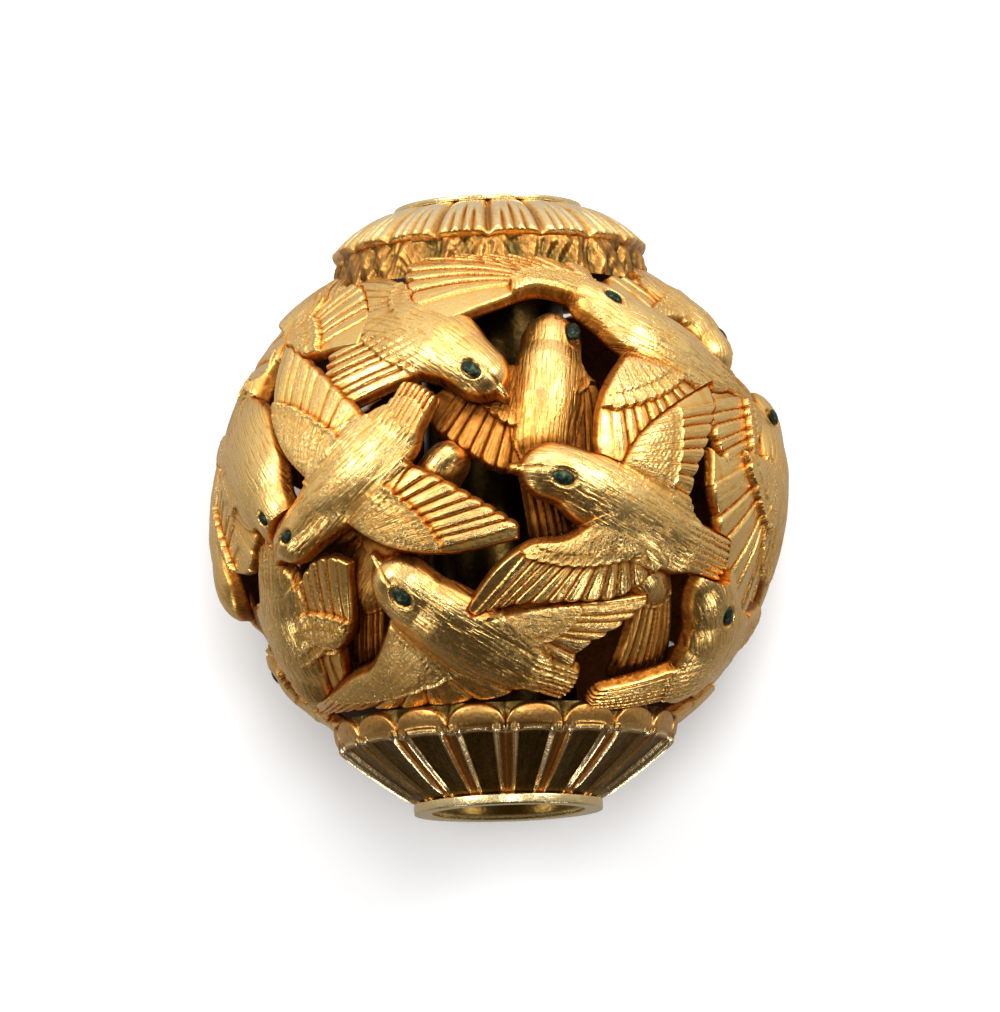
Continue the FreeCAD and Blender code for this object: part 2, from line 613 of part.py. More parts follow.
def lower_skirt():
    return flared_skirt(LOWER_SEAT_HEIGHT, LOWER_RIM_HEIGHT, LOWER_RIM_RADIUS, LOWER_FLARE)


def make_flock():
    """All birds by number, the top level first so that lower birds give way to it."""
    twin_number = {first: number for number, first in TWIN_OF.items()}
    birds, shapes, covers = {}, {}, []
    for first in sorted(SPARROW_SHARES, key=lambda number: (SPARROW_SHARES[number]["level"], number)):
        bird = read_bird(SPARROW_SHARES[first])
        shape = trimmed_bird(bird, covers)
        cuts = bird_cuts(bird)
        birds[first] = bird
        shapes[first] = shape
        covers += cuts
        if first in twin_number:
            birds[twin_number[first]] = through_middle(bird)
            shapes[twin_number[first]] = reflected(shape)
            covers += [reflected(cut) for cut in cuts]
    ends = [end_room(upper_skirt()), lower_end(end_room(lower_skirt()))]
    return birds, {number: biggest_solid(shape.cut(ends)) for number, shape in shapes.items()}


def fit_eyes(birds, shapes):
    eyes = {}
    for number, bird in birds.items():
        if not bird["eye"]:
            continue
        surface = surface_radius(shapes[number], bird["eye"][0])
        shapes[number] = shapes[number].cut(eye_socket(bird, surface))
        eyes[number] = eye_pellet(bird, surface)
    return eyes


def save(shape, name):
    shape.exportStep("parts/" + name + ".step")


def build():
    os.makedirs("parts", exist_ok=True)
    save(cord_tube(), "cord_tube")
    save(eyelet(UPPER_NECK_HEIGHT, UPPER_FLANGE_HEIGHT), "upper_eyelet")
    save(lower_end(eyelet(LOWER_NECK_HEIGHT, LOWER_FLANGE_HEIGHT)), "lower_eyelet")
    save(petal_collar(upper_skirt(), UPPER_RIM_RADIUS, UPPER_NECK_HEIGHT, UPPER_PETAL_BULGE,
                      UPPER_PETAL_SCOOP), "upper_petal_collar")
    save(lower_end(petal_collar(lower_skirt(), LOWER_RIM_RADIUS, LOWER_NECK_HEIGHT, LOWER_PETAL_BULGE,
                                LOWER_PETAL_SCOOP)), "lower_petal_collar")
    birds, shapes = make_flock()
    eyes = fit_eyes(birds, shapes)
    for number, shape in shapes.items():
        save(biggest_solid(shape), "sparrow_" + number)
    for number, shape in eyes.items():
        save(shape, "sparrow_" + number + "_eye")


build()
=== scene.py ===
import math

import bpy
import numpy as np
from bpy.props import BoolProperty, FloatProperty, FloatVectorProperty, IntProperty, PointerProperty
from mathutils import Matrix, Vector


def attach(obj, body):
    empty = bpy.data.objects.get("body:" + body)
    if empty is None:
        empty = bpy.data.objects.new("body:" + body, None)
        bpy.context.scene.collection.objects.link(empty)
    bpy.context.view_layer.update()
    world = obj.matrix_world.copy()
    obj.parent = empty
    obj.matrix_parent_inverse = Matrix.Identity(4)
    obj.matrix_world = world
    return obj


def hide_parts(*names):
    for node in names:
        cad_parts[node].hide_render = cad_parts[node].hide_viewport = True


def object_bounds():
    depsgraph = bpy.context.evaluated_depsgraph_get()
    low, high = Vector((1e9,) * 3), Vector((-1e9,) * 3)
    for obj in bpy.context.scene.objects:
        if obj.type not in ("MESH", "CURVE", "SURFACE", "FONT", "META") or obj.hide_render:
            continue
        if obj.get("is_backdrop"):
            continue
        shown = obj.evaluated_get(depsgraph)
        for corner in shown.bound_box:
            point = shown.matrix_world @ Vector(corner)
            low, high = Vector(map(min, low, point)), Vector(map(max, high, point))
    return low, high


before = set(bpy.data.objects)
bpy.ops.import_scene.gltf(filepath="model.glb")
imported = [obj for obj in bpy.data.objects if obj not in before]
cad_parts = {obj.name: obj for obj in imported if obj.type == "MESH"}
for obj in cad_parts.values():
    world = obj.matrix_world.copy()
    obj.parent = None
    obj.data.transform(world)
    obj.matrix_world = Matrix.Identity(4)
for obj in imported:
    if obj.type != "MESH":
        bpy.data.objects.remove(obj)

bl_info = {
    "name": "Openwork Bead Carver",
    "version": (1, 0, 0),
    "blender": (4, 5, 0),
    "location": "3D View > Sidebar > Bead",
    "description": "Carves the birds, collars and eyelets of an openwork bead and sets its stage",
    "category": "Add Mesh",
}

MM = 0.001

# How the picture looks at the ball; the distance is in ball radii
VIEW_ELEVATION = math.radians(82.5)
VIEW_ROLL = math.radians(2.0)
VIEW_DISTANCE_SHARE = 31.0
IMAGE_WIDTH = 1000

FLOOR_SIZE = 4.0
FLOOR_GAP = 0.00002

# Each bird in shares of the ball's radius, as the camera sees it. The spine runs from beak to tail and has the
# body's half widths. The eye has its size, the tail its root, tip and their half widths, and each wing its
# front edge, its rear edge and its number of long feathers. Level 0 is the outermost.
SPARROW_SHARES = {
    "01": dict(level=0,
               spine=[(-0.79, -0.20), (-0.70, -0.09), (-0.61, 0.01), (-0.50, 0.13), (-0.39, 0.25), (-0.34, 0.30)],
               half=[0.01, 0.09, 0.112, 0.146, 0.123, 0.101],
               eye=(-0.71, -0.10, 0.026),
               tail=((-0.35, 0.28), (-0.28, 0.41), 0.08, 0.08),
               wings=[([(-0.54, -0.05), (-0.38, -0.14), (-0.16, -0.16), (0.07, -0.11)],
                       [(-0.36, 0.17), (-0.20, 0.09), (-0.04, 0.00), (0.07, -0.07)], 9),
                      ([(-0.62, 0.06), (-0.73, 0.16), (-0.79, 0.30), (-0.79, 0.46), (-0.76, 0.58)],
                       [(-0.44, 0.28), (-0.52, 0.36), (-0.63, 0.47), (-0.74, 0.57)], 8)]),
    "02": dict(level=0.5,
               spine=[(0.03, 0.39), (-0.09, 0.50), (-0.20, 0.58), (-0.29, 0.63), (-0.37, 0.66), (-0.41, 0.67)],
               half=[0.01, 0.112, 0.146, 0.146, 0.123, 0.101],
               eye=(-0.09, 0.46, 0.034),
               tail=((-0.30, 0.56), (-0.58, 0.45), 0.12, 0.15),
               wings=[([(-0.18, 0.67), (-0.26, 0.76), (-0.35, 0.81), (-0.45, 0.85)],
                       [(-0.36, 0.58), (-0.53, 0.62), (-0.53, 0.72), (-0.51, 0.82)], 8)]),
    "03": dict(level=0.05,
               spine=[(0.26, 0.79), (0.38, 0.71), (0.49, 0.64), (0.63, 0.57), (0.75, 0.50), (0.80, 0.47)],
               half=[0.01, 0.101, 0.134, 0.134, 0.123, 0.101],
               eye=(0.39, 0.71, 0.030),
               tail=((0.78, 0.47), (0.90, 0.39), 0.07, 0.06),
               wings=[([(0.38, 0.64), (0.30, 0.72), (0.14, 0.77), (-0.02, 0.72), (-0.17, 0.66)],
                       [(0.33, 0.85), (0.16, 0.89), (-0.05, 0.90), (-0.31, 0.865), (-0.29, 0.71)], 11),
                      ([(0.46, 0.55), (0.40, 0.46), (0.36, 0.36), (0.35, 0.23), (0.37, 0.15)],
                       [(0.75, 0.43), (0.68, 0.29), (0.55, 0.18), (0.41, 0.13)], 9)]),
    "04": dict(level=2,
               spine=[(0.19, 0.68), (0.19, 0.59), (0.18, 0.50), (0.17, 0.39), (0.16, 0.26), (0.16, 0.17)],
               half=[0.03, 0.112, 0.123, 0.134, 0.123, 0.101],
               eye=(0.25, 0.58, 0.034),
               tail=((0.16, 0.18), (0.22, -0.09), 0.09, 0.13),
               wings=[([(0.09, 0.50), (-0.03, 0.49), (-0.15, 0.45), (-0.25, 0.38)],
                       [(0.10, 0.13), (-0.01, 0.14), (-0.11, 0.20), (-0.23, 0.28)], 7),
                      ([(0.20, 0.70), (0.29, 0.62), (0.30, 0.50), (0.36, 0.42), (0.37, 0.30), (0.37, 0.18)],
                       [(0.20, 0.25), (0.24, 0.16), (0.29, 0.13), (0.35, 0.13)], 5)]),
    "05": dict(level=0,
               spine=[(0.05, 0.14), (0.22, 0.12), (0.34, 0.06), (0.49, -0.03), (0.64, -0.12), (0.69, -0.15)],
               half=[0.01, 0.101, 0.123, 0.134, 0.123, 0.112],
               eye=(0.22, 0.10, 0.036),
               tail=((0.68, -0.14), (0.80, -0.19), 0.09, 0.09),
               wings=[([(0.44, -0.02), (0.34, -0.05), (0.24, -0.11), (0.11, -0.13), (-0.01, -0.22), (-0.11, -0.36)],
                       [(0.58, -0.20), (0.43, -0.31), (0.24, -0.33), (0.06, -0.34), (-0.09, -0.38)], 12),
                      ([(0.42, 0.13), (0.50, 0.26), (0.62, 0.36), (0.75, 0.44)],
                       [(0.68, -0.03), (0.69, 0.09), (0.74, 0.23), (0.77, 0.37)], 8)]),
    "06": dict(level=0.5,
               spine=[(-0.44, -0.17), (-0.31, -0.31), (-0.20, -0.39), (-0.07, -0.47), (0.06, -0.55), (0.11, -0.58)],
               half=[0.01, 0.123, 0.134, 0.146, 0.123, 0.101],
               eye=(-0.32, -0.30, 0.036),
               tail=((0.10, -0.57), (0.25, -0.63), 0.08, 0.08),
               wings=[([(-0.37, -0.37), (-0.40, -0.47), (-0.45, -0.57), (-0.55, -0.63), (-0.68, -0.73)],
                       [(0.06, -0.66), (-0.16, -0.70), (-0.33, -0.72), (-0.52, -0.74), (-0.66, -0.75)], 10),
                      ([(-0.09, -0.40), (0.04, -0.37), (0.21, -0.34), (0.53, -0.31)],
                       [(0.10, -0.52), (0.23, -0.58), (0.30, -0.50), (0.40, -0.44), (0.48, -0.38), (0.53, -0.33)], 8)]),
    "07": dict(level=0.1,
               spine=[(0.72, -0.20), (0.77, -0.33), (0.78, -0.44), (0.75, -0.53), (0.69, -0.60), (0.65, -0.63)],
               half=[0.02, 0.134, 0.168, 0.179, 0.146, 0.112],
               eye=(0.78, -0.37, 0.034),
               tail=((0.69, -0.60), (0.36, -0.68), 0.10, 0.07),
               wings=[([(0.82, -0.36), (0.89, -0.37), (0.94, -0.34), (0.97, -0.29)],
                       [(0.72, -0.58), (0.80, -0.65), (0.89, -0.55), (0.94, -0.45), (0.97, -0.34)], 7)]),
    "08": dict(level=0.1,
               spine=[(-0.73, -0.12), (-0.80, -0.01), (-0.85, 0.09), (-0.90, 0.19), (-0.93, 0.27), (-0.94, 0.31)],
               half=[0.01, 0.112, 0.168, 0.19, 0.157, 0.112],
               eye=(-0.79, -0.04, 0.024),
               tail=((-0.93, 0.25), (-0.91, 0.40), 0.08, 0.08),
               wings=[([(-0.93, 0.12), (-1.00, 0.04), (-1.03, -0.10), (-0.99, -0.32), (-0.87, -0.56)],
                       [(-0.84, -0.02), (-0.87, -0.14), (-0.89, -0.30), (-0.83, -0.50)], 7),
                      ([(-0.92, 0.14), (-0.99, 0.12), (-1.03, 0.20)],
                       [(-0.92, 0.30), (-0.95, 0.37), (-1.01, 0.30)], 5)]),
    "09": dict(level=0.7,
               spine=[(-0.62, -0.76), (-0.70, -0.64), (-0.74, -0.53), (-0.77, -0.41), (-0.80, -0.29), (-0.81, -0.22)],
               half=[0.01, 0.112, 0.146, 0.157, 0.134, 0.112],
               eye=None,
               tail=((-0.80, -0.26), (-0.82, -0.10), 0.08, 0.10),
               wings=[([(-0.68, -0.50), (-0.56, -0.50), (-0.52, -0.40), (-0.53, -0.20)],
                       [(-0.74, -0.34), (-0.70, -0.25), (-0.65, -0.19), (-0.57, -0.18)], 6),
                      ([(-0.72, -0.46), (-0.64, -0.45), (-0.57, -0.50), (-0.55, -0.60)],
                       [(-0.72, -0.60), (-0.70, -0.67), (-0.64, -0.70), (-0.57, -0.66)], 5),
                      ([(-0.78, -0.36), (-0.86, -0.36), (-0.94, -0.40)],
                       [(-0.72, -0.64), (-0.79, -0.66), (-0.87, -0.58), (-0.94, -0.48)], 6)]),
    "10": dict(level=0.4,
               spine=[(-0.91, 0.30), (-0.88, 0.43), (-0.82, 0.55), (-0.74, 0.66), (-0.65, 0.76), (-0.57, 0.84)],
               half=[0.01, 0.101, 0.134, 0.134, 0.112, 0.101],
               eye=None,
               tail=((-0.64, 0.75), (-0.52, 0.87), 0.09, 0.10),
               wings=[([(-0.80, 0.50), (-0.70, 0.53), (-0.60, 0.56), (-0.50, 0.58)],
                       [(-0.66, 0.74), (-0.58, 0.80), (-0.50, 0.80), (-0.46, 0.68)], 7),
                      ([(-0.86, 0.48), (-0.93, 0.46), (-0.98, 0.38)],
                       [(-0.70, 0.70), (-0.76, 0.71), (-0.85, 0.62), (-0.95, 0.48)], 7)]),
    "11": dict(level=0.5,
               spine=[(0.83, 0.50), (0.78, 0.59), (0.73, 0.66), (0.67, 0.72), (0.61, 0.78), (0.55, 0.84)],
               half=[0.01, 0.101, 0.134, 0.146, 0.123, 0.112],
               eye=(0.78, 0.60, 0.026),
               tail=((0.62, 0.76), (0.50, 0.87), 0.10, 0.12),
               wings=[([(0.70, 0.66), (0.60, 0.68), (0.50, 0.70), (0.40, 0.76)],
                       [(0.64, 0.78), (0.56, 0.82), (0.48, 0.84), (0.40, 0.84)], 7),
                      ([(0.76, 0.60), (0.85, 0.58), (0.94, 0.48)],
                       [(0.64, 0.74), (0.71, 0.76), (0.81, 0.69), (0.93, 0.54)], 7)]),
    "12": dict(level=0.08,
               spine=[(0.92, 0.40), (0.96, 0.28), (0.985, 0.14), (0.99, 0.0), (0.98, -0.14), (0.97, -0.20)],
               half=[0.01, 0.123, 0.168, 0.179, 0.146, 0.112],
               eye=(0.95, 0.31, 0.03),
               tail=((0.98, -0.14), (0.92, -0.42), 0.09, 0.11),
               wings=[([(0.97, 0.14), (0.88, 0.20), (0.80, 0.18), (0.76, 0.21)],
                       [(0.96, -0.14), (0.90, -0.36), (0.84, -0.34), (0.80, -0.14), (0.76, 0.08)], 8),
                      ([(0.93, 0.22), (0.92, 0.34), (0.86, 0.42), (0.77, 0.43)],
                       [(0.88, 0.10), (0.84, 0.14), (0.78, 0.24), (0.75, 0.38)], 7),
                      ([(1.00, 0.16), (1.02, 0.26), (1.06, 0.28)],
                       [(0.99, -0.12), (1.02, -0.14), (1.06, -0.02), (1.07, 0.16)], 7)]),
    "13": dict(level=2,
               spine=[(-0.12, 0.22), (-0.19, 0.15), (-0.27, 0.02), (-0.36, -0.14), (-0.44, -0.26), (-0.47, -0.31)],
               half=[0.03, 0.09, 0.112, 0.123, 0.112, 0.09],
               eye=None,
               tail=((-0.46, -0.30), (-0.48, -0.57), 0.07, 0.12),
               wings=[([(-0.34, -0.05), (-0.48, -0.04), (-0.62, -0.09)],
                       [(-0.42, -0.22), (-0.52, -0.19), (-0.61, -0.15)], 4)]),
    "14": dict(level=1.3,
               spine=[(0.33, 0.06), (0.40, -0.06), (0.46, -0.16), (0.52, -0.24), (0.56, -0.29), (0.57, -0.31)],
               half=[0.01, 0.08, 0.1, 0.1, 0.06, 0.04],
               eye=None,
               tail=((0.56, -0.28), (0.52, -0.60), 0.04, 0.15),
               wings=[]),
}

# The far side repeats these birds turned through the middle of the ball
TWIN_OF = {"%02d" % (number + 14): "%02d" % number for number in range(1, 14)}

FAR_OUTSIDE = -9.0
UNCARVED = -1.0
TINY = 1e-12


class Sheets:
    """Drawing on the sheets, in millimetres."""
    window = 0.4
    margin = 1.4
    carved_beyond = 0.12
    near = 0.25
    line_steps = 16
    facing = 0.2


def unit(rows):
    rows = np.asarray(rows, float)
    return rows / np.linalg.norm(rows, axis=-1, keepdims=True)


def on_ball(places, deeper):
    """Directions from the middle of the ball to places as the camera sees them.

    A place that lies deeper shows nearer the middle, so it is spread, less towards the ball's edge.
    """
    places = np.atleast_2d(np.asarray(places, float))
    x0 = places[:, 0] * math.cos(VIEW_ROLL) + places[:, 1] * math.sin(VIEW_ROLL)
    y0 = places[:, 1] * math.cos(VIEW_ROLL) - places[:, 0] * math.sin(VIEW_ROLL)
    out = np.hypot(x0, y0)
    shrink = np.where(out > 1, (2 - out) / np.maximum(out, 1), 1)
    side = np.where(out > 1, -1, 1)
    spread = np.where(out > 1, 1, 1 + (deeper - 1) * (1 - out ** 4))
    x0, y0 = x0 * shrink * spread, y0 * shrink * spread
    z = side * np.sqrt(np.maximum(0, 1 - x0 * x0 - y0 * y0))
    for _ in range(3):
        nearer = 1 - z / VIEW_DISTANCE_SHARE
        x, y = x0 * nearer, y0 * nearer
        z = side * np.sqrt(np.maximum(0, 1 - x * x - y * y))
    sin, cos = math.sin(VIEW_ELEVATION), math.cos(VIEW_ELEVATION)
    return unit(np.stack([x, y * sin - z * cos, y * cos + z * sin], 1))


class Sheet:
    """The flat drawing sheet of one bird: it touches the ball at the bird's middle."""

    def __init__(self, directions, radius):
        self.radius = radius
        self.centre = unit(unit(directions).mean(0))
        self.right = unit(np.cross((0, 1, 0), self.centre))
        self.up = np.cross(self.centre, self.right)

    def flat(self, directions):
        depth = np.maximum(directions @ self.centre, 0.05)
        across, upward = directions @ self.right / depth, directions @ self.up / depth
        return np.stack([across, upward], -1) * self.radius

    def lifted(self, flat):
        flat = flat / self.radius
        return unit(self.centre + flat[..., :1] * self.right + flat[..., 1:] * self.up)


def eased(low, high, value):
    share = np.clip((value - low) / (high - low), 0, 1)
    return share * share * (3 - 2 * share)


def higher(a, b, blend):
    """The higher of two surfaces, with a soft valley between them."""
    share = np.clip(0.5 + 0.5 * (a - b) / blend, 0, 1)
    return b * (1 - share) + a * share + blend * share * (1 - share)


def ridge(value, middle, width):
    """A smooth ridge, 1 high at its middle."""
    return np.exp(-((value - middle) / width) ** 2)


def curve(start, middle, end, t):
    """Points on a quadratic curve."""
    return start * (1 - t) ** 2 + 2 * middle * t * (1 - t) + end * t * t


def smooth_line(points, count):
    """Evenly spaced points on a smooth line through the given ones."""
    points = np.asarray(points, float)
    ends = np.vstack([2 * points[0] - points[1], points, 2 * points[-1] - points[-2]])
    t = np.linspace(0, 1, Sheets.line_steps, endpoint=False)[:, None]
    parts = []
    for a, b, c, d in zip(ends, ends[1:], ends[2:], ends[3:]):
        parts.append(b + 0.5 * t * (c - a + t * (2 * a - 5 * b + 4 * c - d + t * (3 * (b - c) + d - a))))
    line = np.vstack(parts + [points[-1:]])
    walked = np.concatenate([[0], np.cumsum(np.linalg.norm(np.diff(line, axis=0), axis=1))])
    stops = np.linspace(0, walked[-1], count)
    return np.stack([np.interp(stops, walked, line[:, 0]), np.interp(stops, walked, line[:, 1])], 1)


def part_way(line, shares):
    """Points at shares of the way along an evenly spaced line."""
    at = np.clip(shares, 0, 1) * (len(line) - 1)
    whole = np.arange(len(line))
    return np.stack([np.interp(at, whole, line[:, 0]), np.interp(at, whole, line[:, 1])], -1)


def place_on(line, share):
    return part_way(line, np.array([share]))[0]


def from_edge(x, y, start, end):
    """Squared distance of points from a straight edge."""
    (ax, ay), (bx, by) = start, end
    ex, ey, wx, wy = bx - ax, by - ay, x - ax, y - ay
    share = np.clip((wx * ex + wy * ey) / max(ex * ex + ey * ey, TINY), 0, 1)
    return (wx - share * ex) ** 2 + (wy - share * ey) ** 2


def depth_inside(points, outline):
    """Distance to a closed outline, positive inside it; points far outside all get the same."""
    depth = np.full(len(points), FAR_OUTSIDE)
    near = ((points > outline.min(0) - Sheets.window) & (points < outline.max(0) + Sheets.window)).all(1)
    x, y = points[near].T
    nearest, inside = np.full(len(x), np.inf), np.zeros(len(x), bool)
    for start, end in zip(outline, np.roll(outline, -1, 0)):
        nearest = np.minimum(nearest, from_edge(x, y, start, end))
        (ax, ay), (bx, by) = start, end
        if ay != by:
            inside ^= ((ay > y) != (by > y)) & (x - ax < (y - ay) * (bx - ax) / (by - ay))
    depth[near] = np.where(inside, 1, -1) * np.sqrt(nearest)
    return depth


def distance_to(points, line):
    x, y = points.T
    nearest = np.full(len(x), np.inf)
    for start, end in zip(line, line[1:]):
        nearest = np.minimum(nearest, from_edge(x, y, start, end))
    return np.sqrt(nearest)


class Carving:
    """Heights above the bird's floor, depth inside its footprint and tool strokes over its grid points."""

    def __init__(self, points, shape):
        self.points, self.shape = points, shape
        self.height = np.full(len(points), UNCARVED)
        self.depth = np.full(len(points), -np.inf)
        self.along = np.zeros(len(points))
        self.across = np.zeros(len(points))
        self.stroke = np.zeros(len(points))

    def add(self, height, depth, along, across, stroke, blend):
        inside = depth > -Sheets.carved_beyond
        height = np.where(inside, height, UNCARVED)
        wins = height > self.height
        self.along[wins], self.across[wins], self.stroke[wins] = along[wins], across[wins], stroke[wins]
        both = inside & (self.height > UNCARVED / 2)
        joined = higher(self.height, height, blend)
        self.height = np.where(both, joined, np.maximum(self.height, height))
        self.depth = np.maximum(self.depth, depth)


def filled(near, values, outside):
    """Values of the near points among all the points."""
    whole = np.full(len(near), outside)
    whole[near] = values
    return whole


class Feather:
    """The long feathers; places are shares of a feather's length or width."""
    fan_lines = 97
    tip_turns = (0.0, 0.05, 0.15, 0.3, 0.5, 0.7, 0.85, 0.95)
    wobble, wobble_turns = 0.10, 23.0
    opened_by, tip_from, sinks_until = 0.35, 0.7, 1.1
    root_relief, more_relief = 0.4, 0.6
    groove_width = 0.10
    shaft_at, shaft_width = 0.45, 0.07
    blend = 0.03
    stroke, stroke_shift = 0.45, 3.1


class Wing:
    """The line of the quills, in shares of the wing's edges, and the coverts over it, in millimetres."""
    edge_points, quill_points = 65, 33
    bend_at_lead, bend_at_rear = 0.36, 0.28
    lead_weight, rear_weight = 0.42, 0.58
    wrist_weight, wrist_rest = 0.9, 0.1
    root_width = 0.5
    scallop, scallop_power = 0.11, 0.7
    lip_before, lip_after = 0.035, 0.02
    row_at, row_step, row_soft, row_scallop, row_turns = 0.42, 0.035, 0.03, 0.08, 1.3
    bead_at, bead_width = 0.05, 0.06
    nick_depth, nick_turns, nick_bends, nick_from = 0.007, 37, ((5, 57), (2, 131)), 0.1
    stroke, stroke_span = 0.55, 0.8


class Tail:
    """A tail, in shares of its length or width."""
    quill_points, bow = 33, 0.09
    notch, bulge = 0.05, 0.08
    risen_by = 0.34


def feather_fan(points, quills, tips):
    """Where each point lies in a fan of feathers: share across the fan, share along, feather length."""
    lines = Feather.fan_lines
    shares = np.linspace(0, 1, lines)
    roots, ends = part_way(quills, shares), part_way(tips, shares)
    run = ends - roots
    away = points[:, None, :] - roots[None]
    side = run[None, :, 0] * away[..., 1] - run[None, :, 1] * away[..., 0]
    reach = (away * run[None]).sum(-1) / (run ** 2).sum(-1)[None]
    crossing = (side[:, :-1] > 0) != (side[:, 1:] > 0)
    middle = np.abs(0.5 * (reach[:, :-1] + reach[:, 1:]) - 0.5)
    score = np.where(crossing, middle, np.inf)
    best = score.argmin(1)
    rows = np.arange(len(points))
    found = np.isfinite(score[rows, best])
    here, there = side[rows, best], side[rows, best + 1]
    part = np.where(found, here / np.where(here == there, 1, here - there), 0)
    first_side = np.sign(np.median(side[:, 0][found])) if found.any() else 1
    beyond = np.where(np.sign(side[:, -1]) == first_side, lines - 1, 0)
    spot = np.where(found, best + part, beyond)
    low = np.minimum(spot.astype(int), lines - 2)
    mix = spot - low
    along = reach[rows, low] * (1 - mix) + reach[rows, low + 1] * mix
    length = np.interp(spot, np.arange(lines), np.linalg.norm(run, axis=1))
    return spot / (lines - 1), along, length


def feather_tips(quills, rear, count, notch, bulge):
    """The edge of a row of feathers, one rounded tip for each."""
    edge = []
    for k in range(count):
        for turn in Feather.tip_turns:
            root, end = place_on(quills, (k + turn) / count), place_on(rear, (k + turn) / count)
            out = bulge * math.sin(math.pi * turn) ** 0.5 - notch
            edge.append(end + (end - root) * out)
    edge.append(rear[-1])
    return np.array(edge)


def wing_quills(lead, rear, cut):
    """The line where the long feathers come out from under the coverts."""
    start = lead[0] * (1 - cut.covert_share) + rear[0] * cut.covert_share
    middle = place_on(lead, Wing.bend_at_lead) * Wing.lead_weight + place_on(rear, Wing.bend_at_rear) * Wing.rear_weight
    wrist = place_on(lead, cut.wrist_share)
    end = wrist * Wing.wrist_weight + place_on(rear, cut.wrist_share) * Wing.wrist_rest
    return curve(start, middle, end, np.linspace(0, 1, Wing.quill_points)[:, None])


def blades(across_share, along, count, cut, mirrored=False):
    """One row of long feathers: shingled, crowned, each with its shaft."""
    wobble = Feather.wobble * np.sin(across_share * Feather.wobble_turns) * (across_share < 1)
    spot = np.clip(across_share * count + wobble, 0, count - 1e-6)
    turn = spot % 1
    crown = 1 - (2 * turn - 1) ** 2
    lean = np.where(mirrored & (across_share > 0.5), 0.5 - turn, turn - 0.5)
    opened = eased(0.0, Feather.opened_by, along)
    tip = eased(Feather.tip_from, 1.0, along)
    relief = Feather.root_relief + Feather.more_relief * opened
    height = cut.blade_height - cut.blade_drop * np.clip(along, 0, Feather.sinks_until)
    height = height + (cut.feather_step * lean + cut.feather_crown * crown * (1 + tip)) * relief
    height = height - cut.feather_groove * ridge(np.minimum(turn, 1 - turn), 0, Feather.groove_width)
    height = height + cut.feather_shaft * ridge(turn, Feather.shaft_at, Feather.shaft_width)
    return height, turn, np.floor(spot)


def coverts(points, lead, rear, across, turn, over, count, cut):
    """Height of the small feathers on a wing's arm, and how far they cover the long ones."""
    round_edge = np.clip(distance_to(points, lead) / cut.arm_round, 0, 1)
    arm = cut.arm_height - cut.arm_drop * (1 - np.sqrt(round_edge * (2 - round_edge)))
    arm = arm - cut.root_sink * eased(Wing.root_width, 0.0, distance_to(points, np.stack([lead[0], rear[0]])))
    scallop = Wing.scallop * (1 - (2 * turn - 1) ** 2) ** Wing.scallop_power
    row = over - Wing.row_at + Wing.row_scallop * np.abs(np.sin(across * math.pi * count * Wing.row_turns))
    arm = arm + Wing.row_step * eased(-Wing.row_soft, Wing.row_soft, row)
    bead = cut.covert_lip * ridge(over + scallop, Wing.bead_at, Wing.bead_width)
    bend = over * Wing.nick_turns
    for much, turns in Wing.nick_bends:
        bend = bend + much * np.sin(across * turns)
    nicks = Wing.nick_depth * np.sin(bend) * eased(0.0, Wing.nick_from, over)
    return arm + bead + nicks, eased(-scallop - Wing.lip_before, -scallop + Wing.lip_after, over)


def carve_wing(carving, lead, rear, count, cut):
    lead, rear = smooth_line(lead, Wing.edge_points), smooth_line(rear, Wing.edge_points)
    quills = wing_quills(lead, rear, cut)
    tips = feather_tips(quills, rear, count, cut.tip_notch, cut.tip_bulge)
    depth = depth_inside(carving.points, np.vstack([lead, tips[::-1]]))
    near = depth > -Sheets.near
    points = carving.points[near]
    across, along, length = feather_fan(points, quills, rear)
    height, turn, number = blades(across, along, count, cut)
    arm, lip = coverts(points, lead, rear, across, turn, -along * length, count, cut)
    span = np.linalg.norm(np.diff(lead, axis=0), axis=1).sum()
    carving.add(filled(near, height * (1 - lip) + arm * lip, UNCARVED), depth, filled(near, along * length, 0.0),
                filled(near, across * span * Wing.stroke_span + number * Feather.stroke_shift, 0.0),
                filled(near, np.where(lip > 0.5, Wing.stroke, Feather.stroke), 0.0), Feather.blend)


def carve_tail(carving, tail, count, cut):
    root, tip, root_half, tip_half = tail
    axis = tip - root
    side = np.array([-axis[1], axis[0]]) / np.hypot(*axis)
    root = root - axis * cut.tail_under_body
    shares = np.linspace(-1, 1, Tail.quill_points)[:, None]
    quills = root + side * root_half * shares
    bow = Tail.bow * np.cos(shares * math.pi / 2) * np.hypot(*axis)
    rear = tip + side * tip_half * shares + bow * axis / np.hypot(*axis)
    tips = feather_tips(quills, rear, count, Tail.notch, Tail.bulge)
    depth = depth_inside(carving.points, np.vstack([quills[:1], tips, quills[-1:]]))
    near = depth > -Sheets.near
    across, along, length = feather_fan(carving.points[near], quills, rear)
    height, turn, number = blades(across, along, count, cut, True)
    height = height + cut.tail_ridge * (1 - (2 * across - 1) ** 2) - cut.tail_sink * eased(Tail.risen_by, 0.0, along)
    carving.add(filled(near, height, UNCARVED), depth, filled(near, along * length, 0.0),
                filled(near, across * tip_half * 2 + number * Feather.stroke_shift, 0.0),
                filled(near, Feather.stroke, 0.0), Feather.blend)


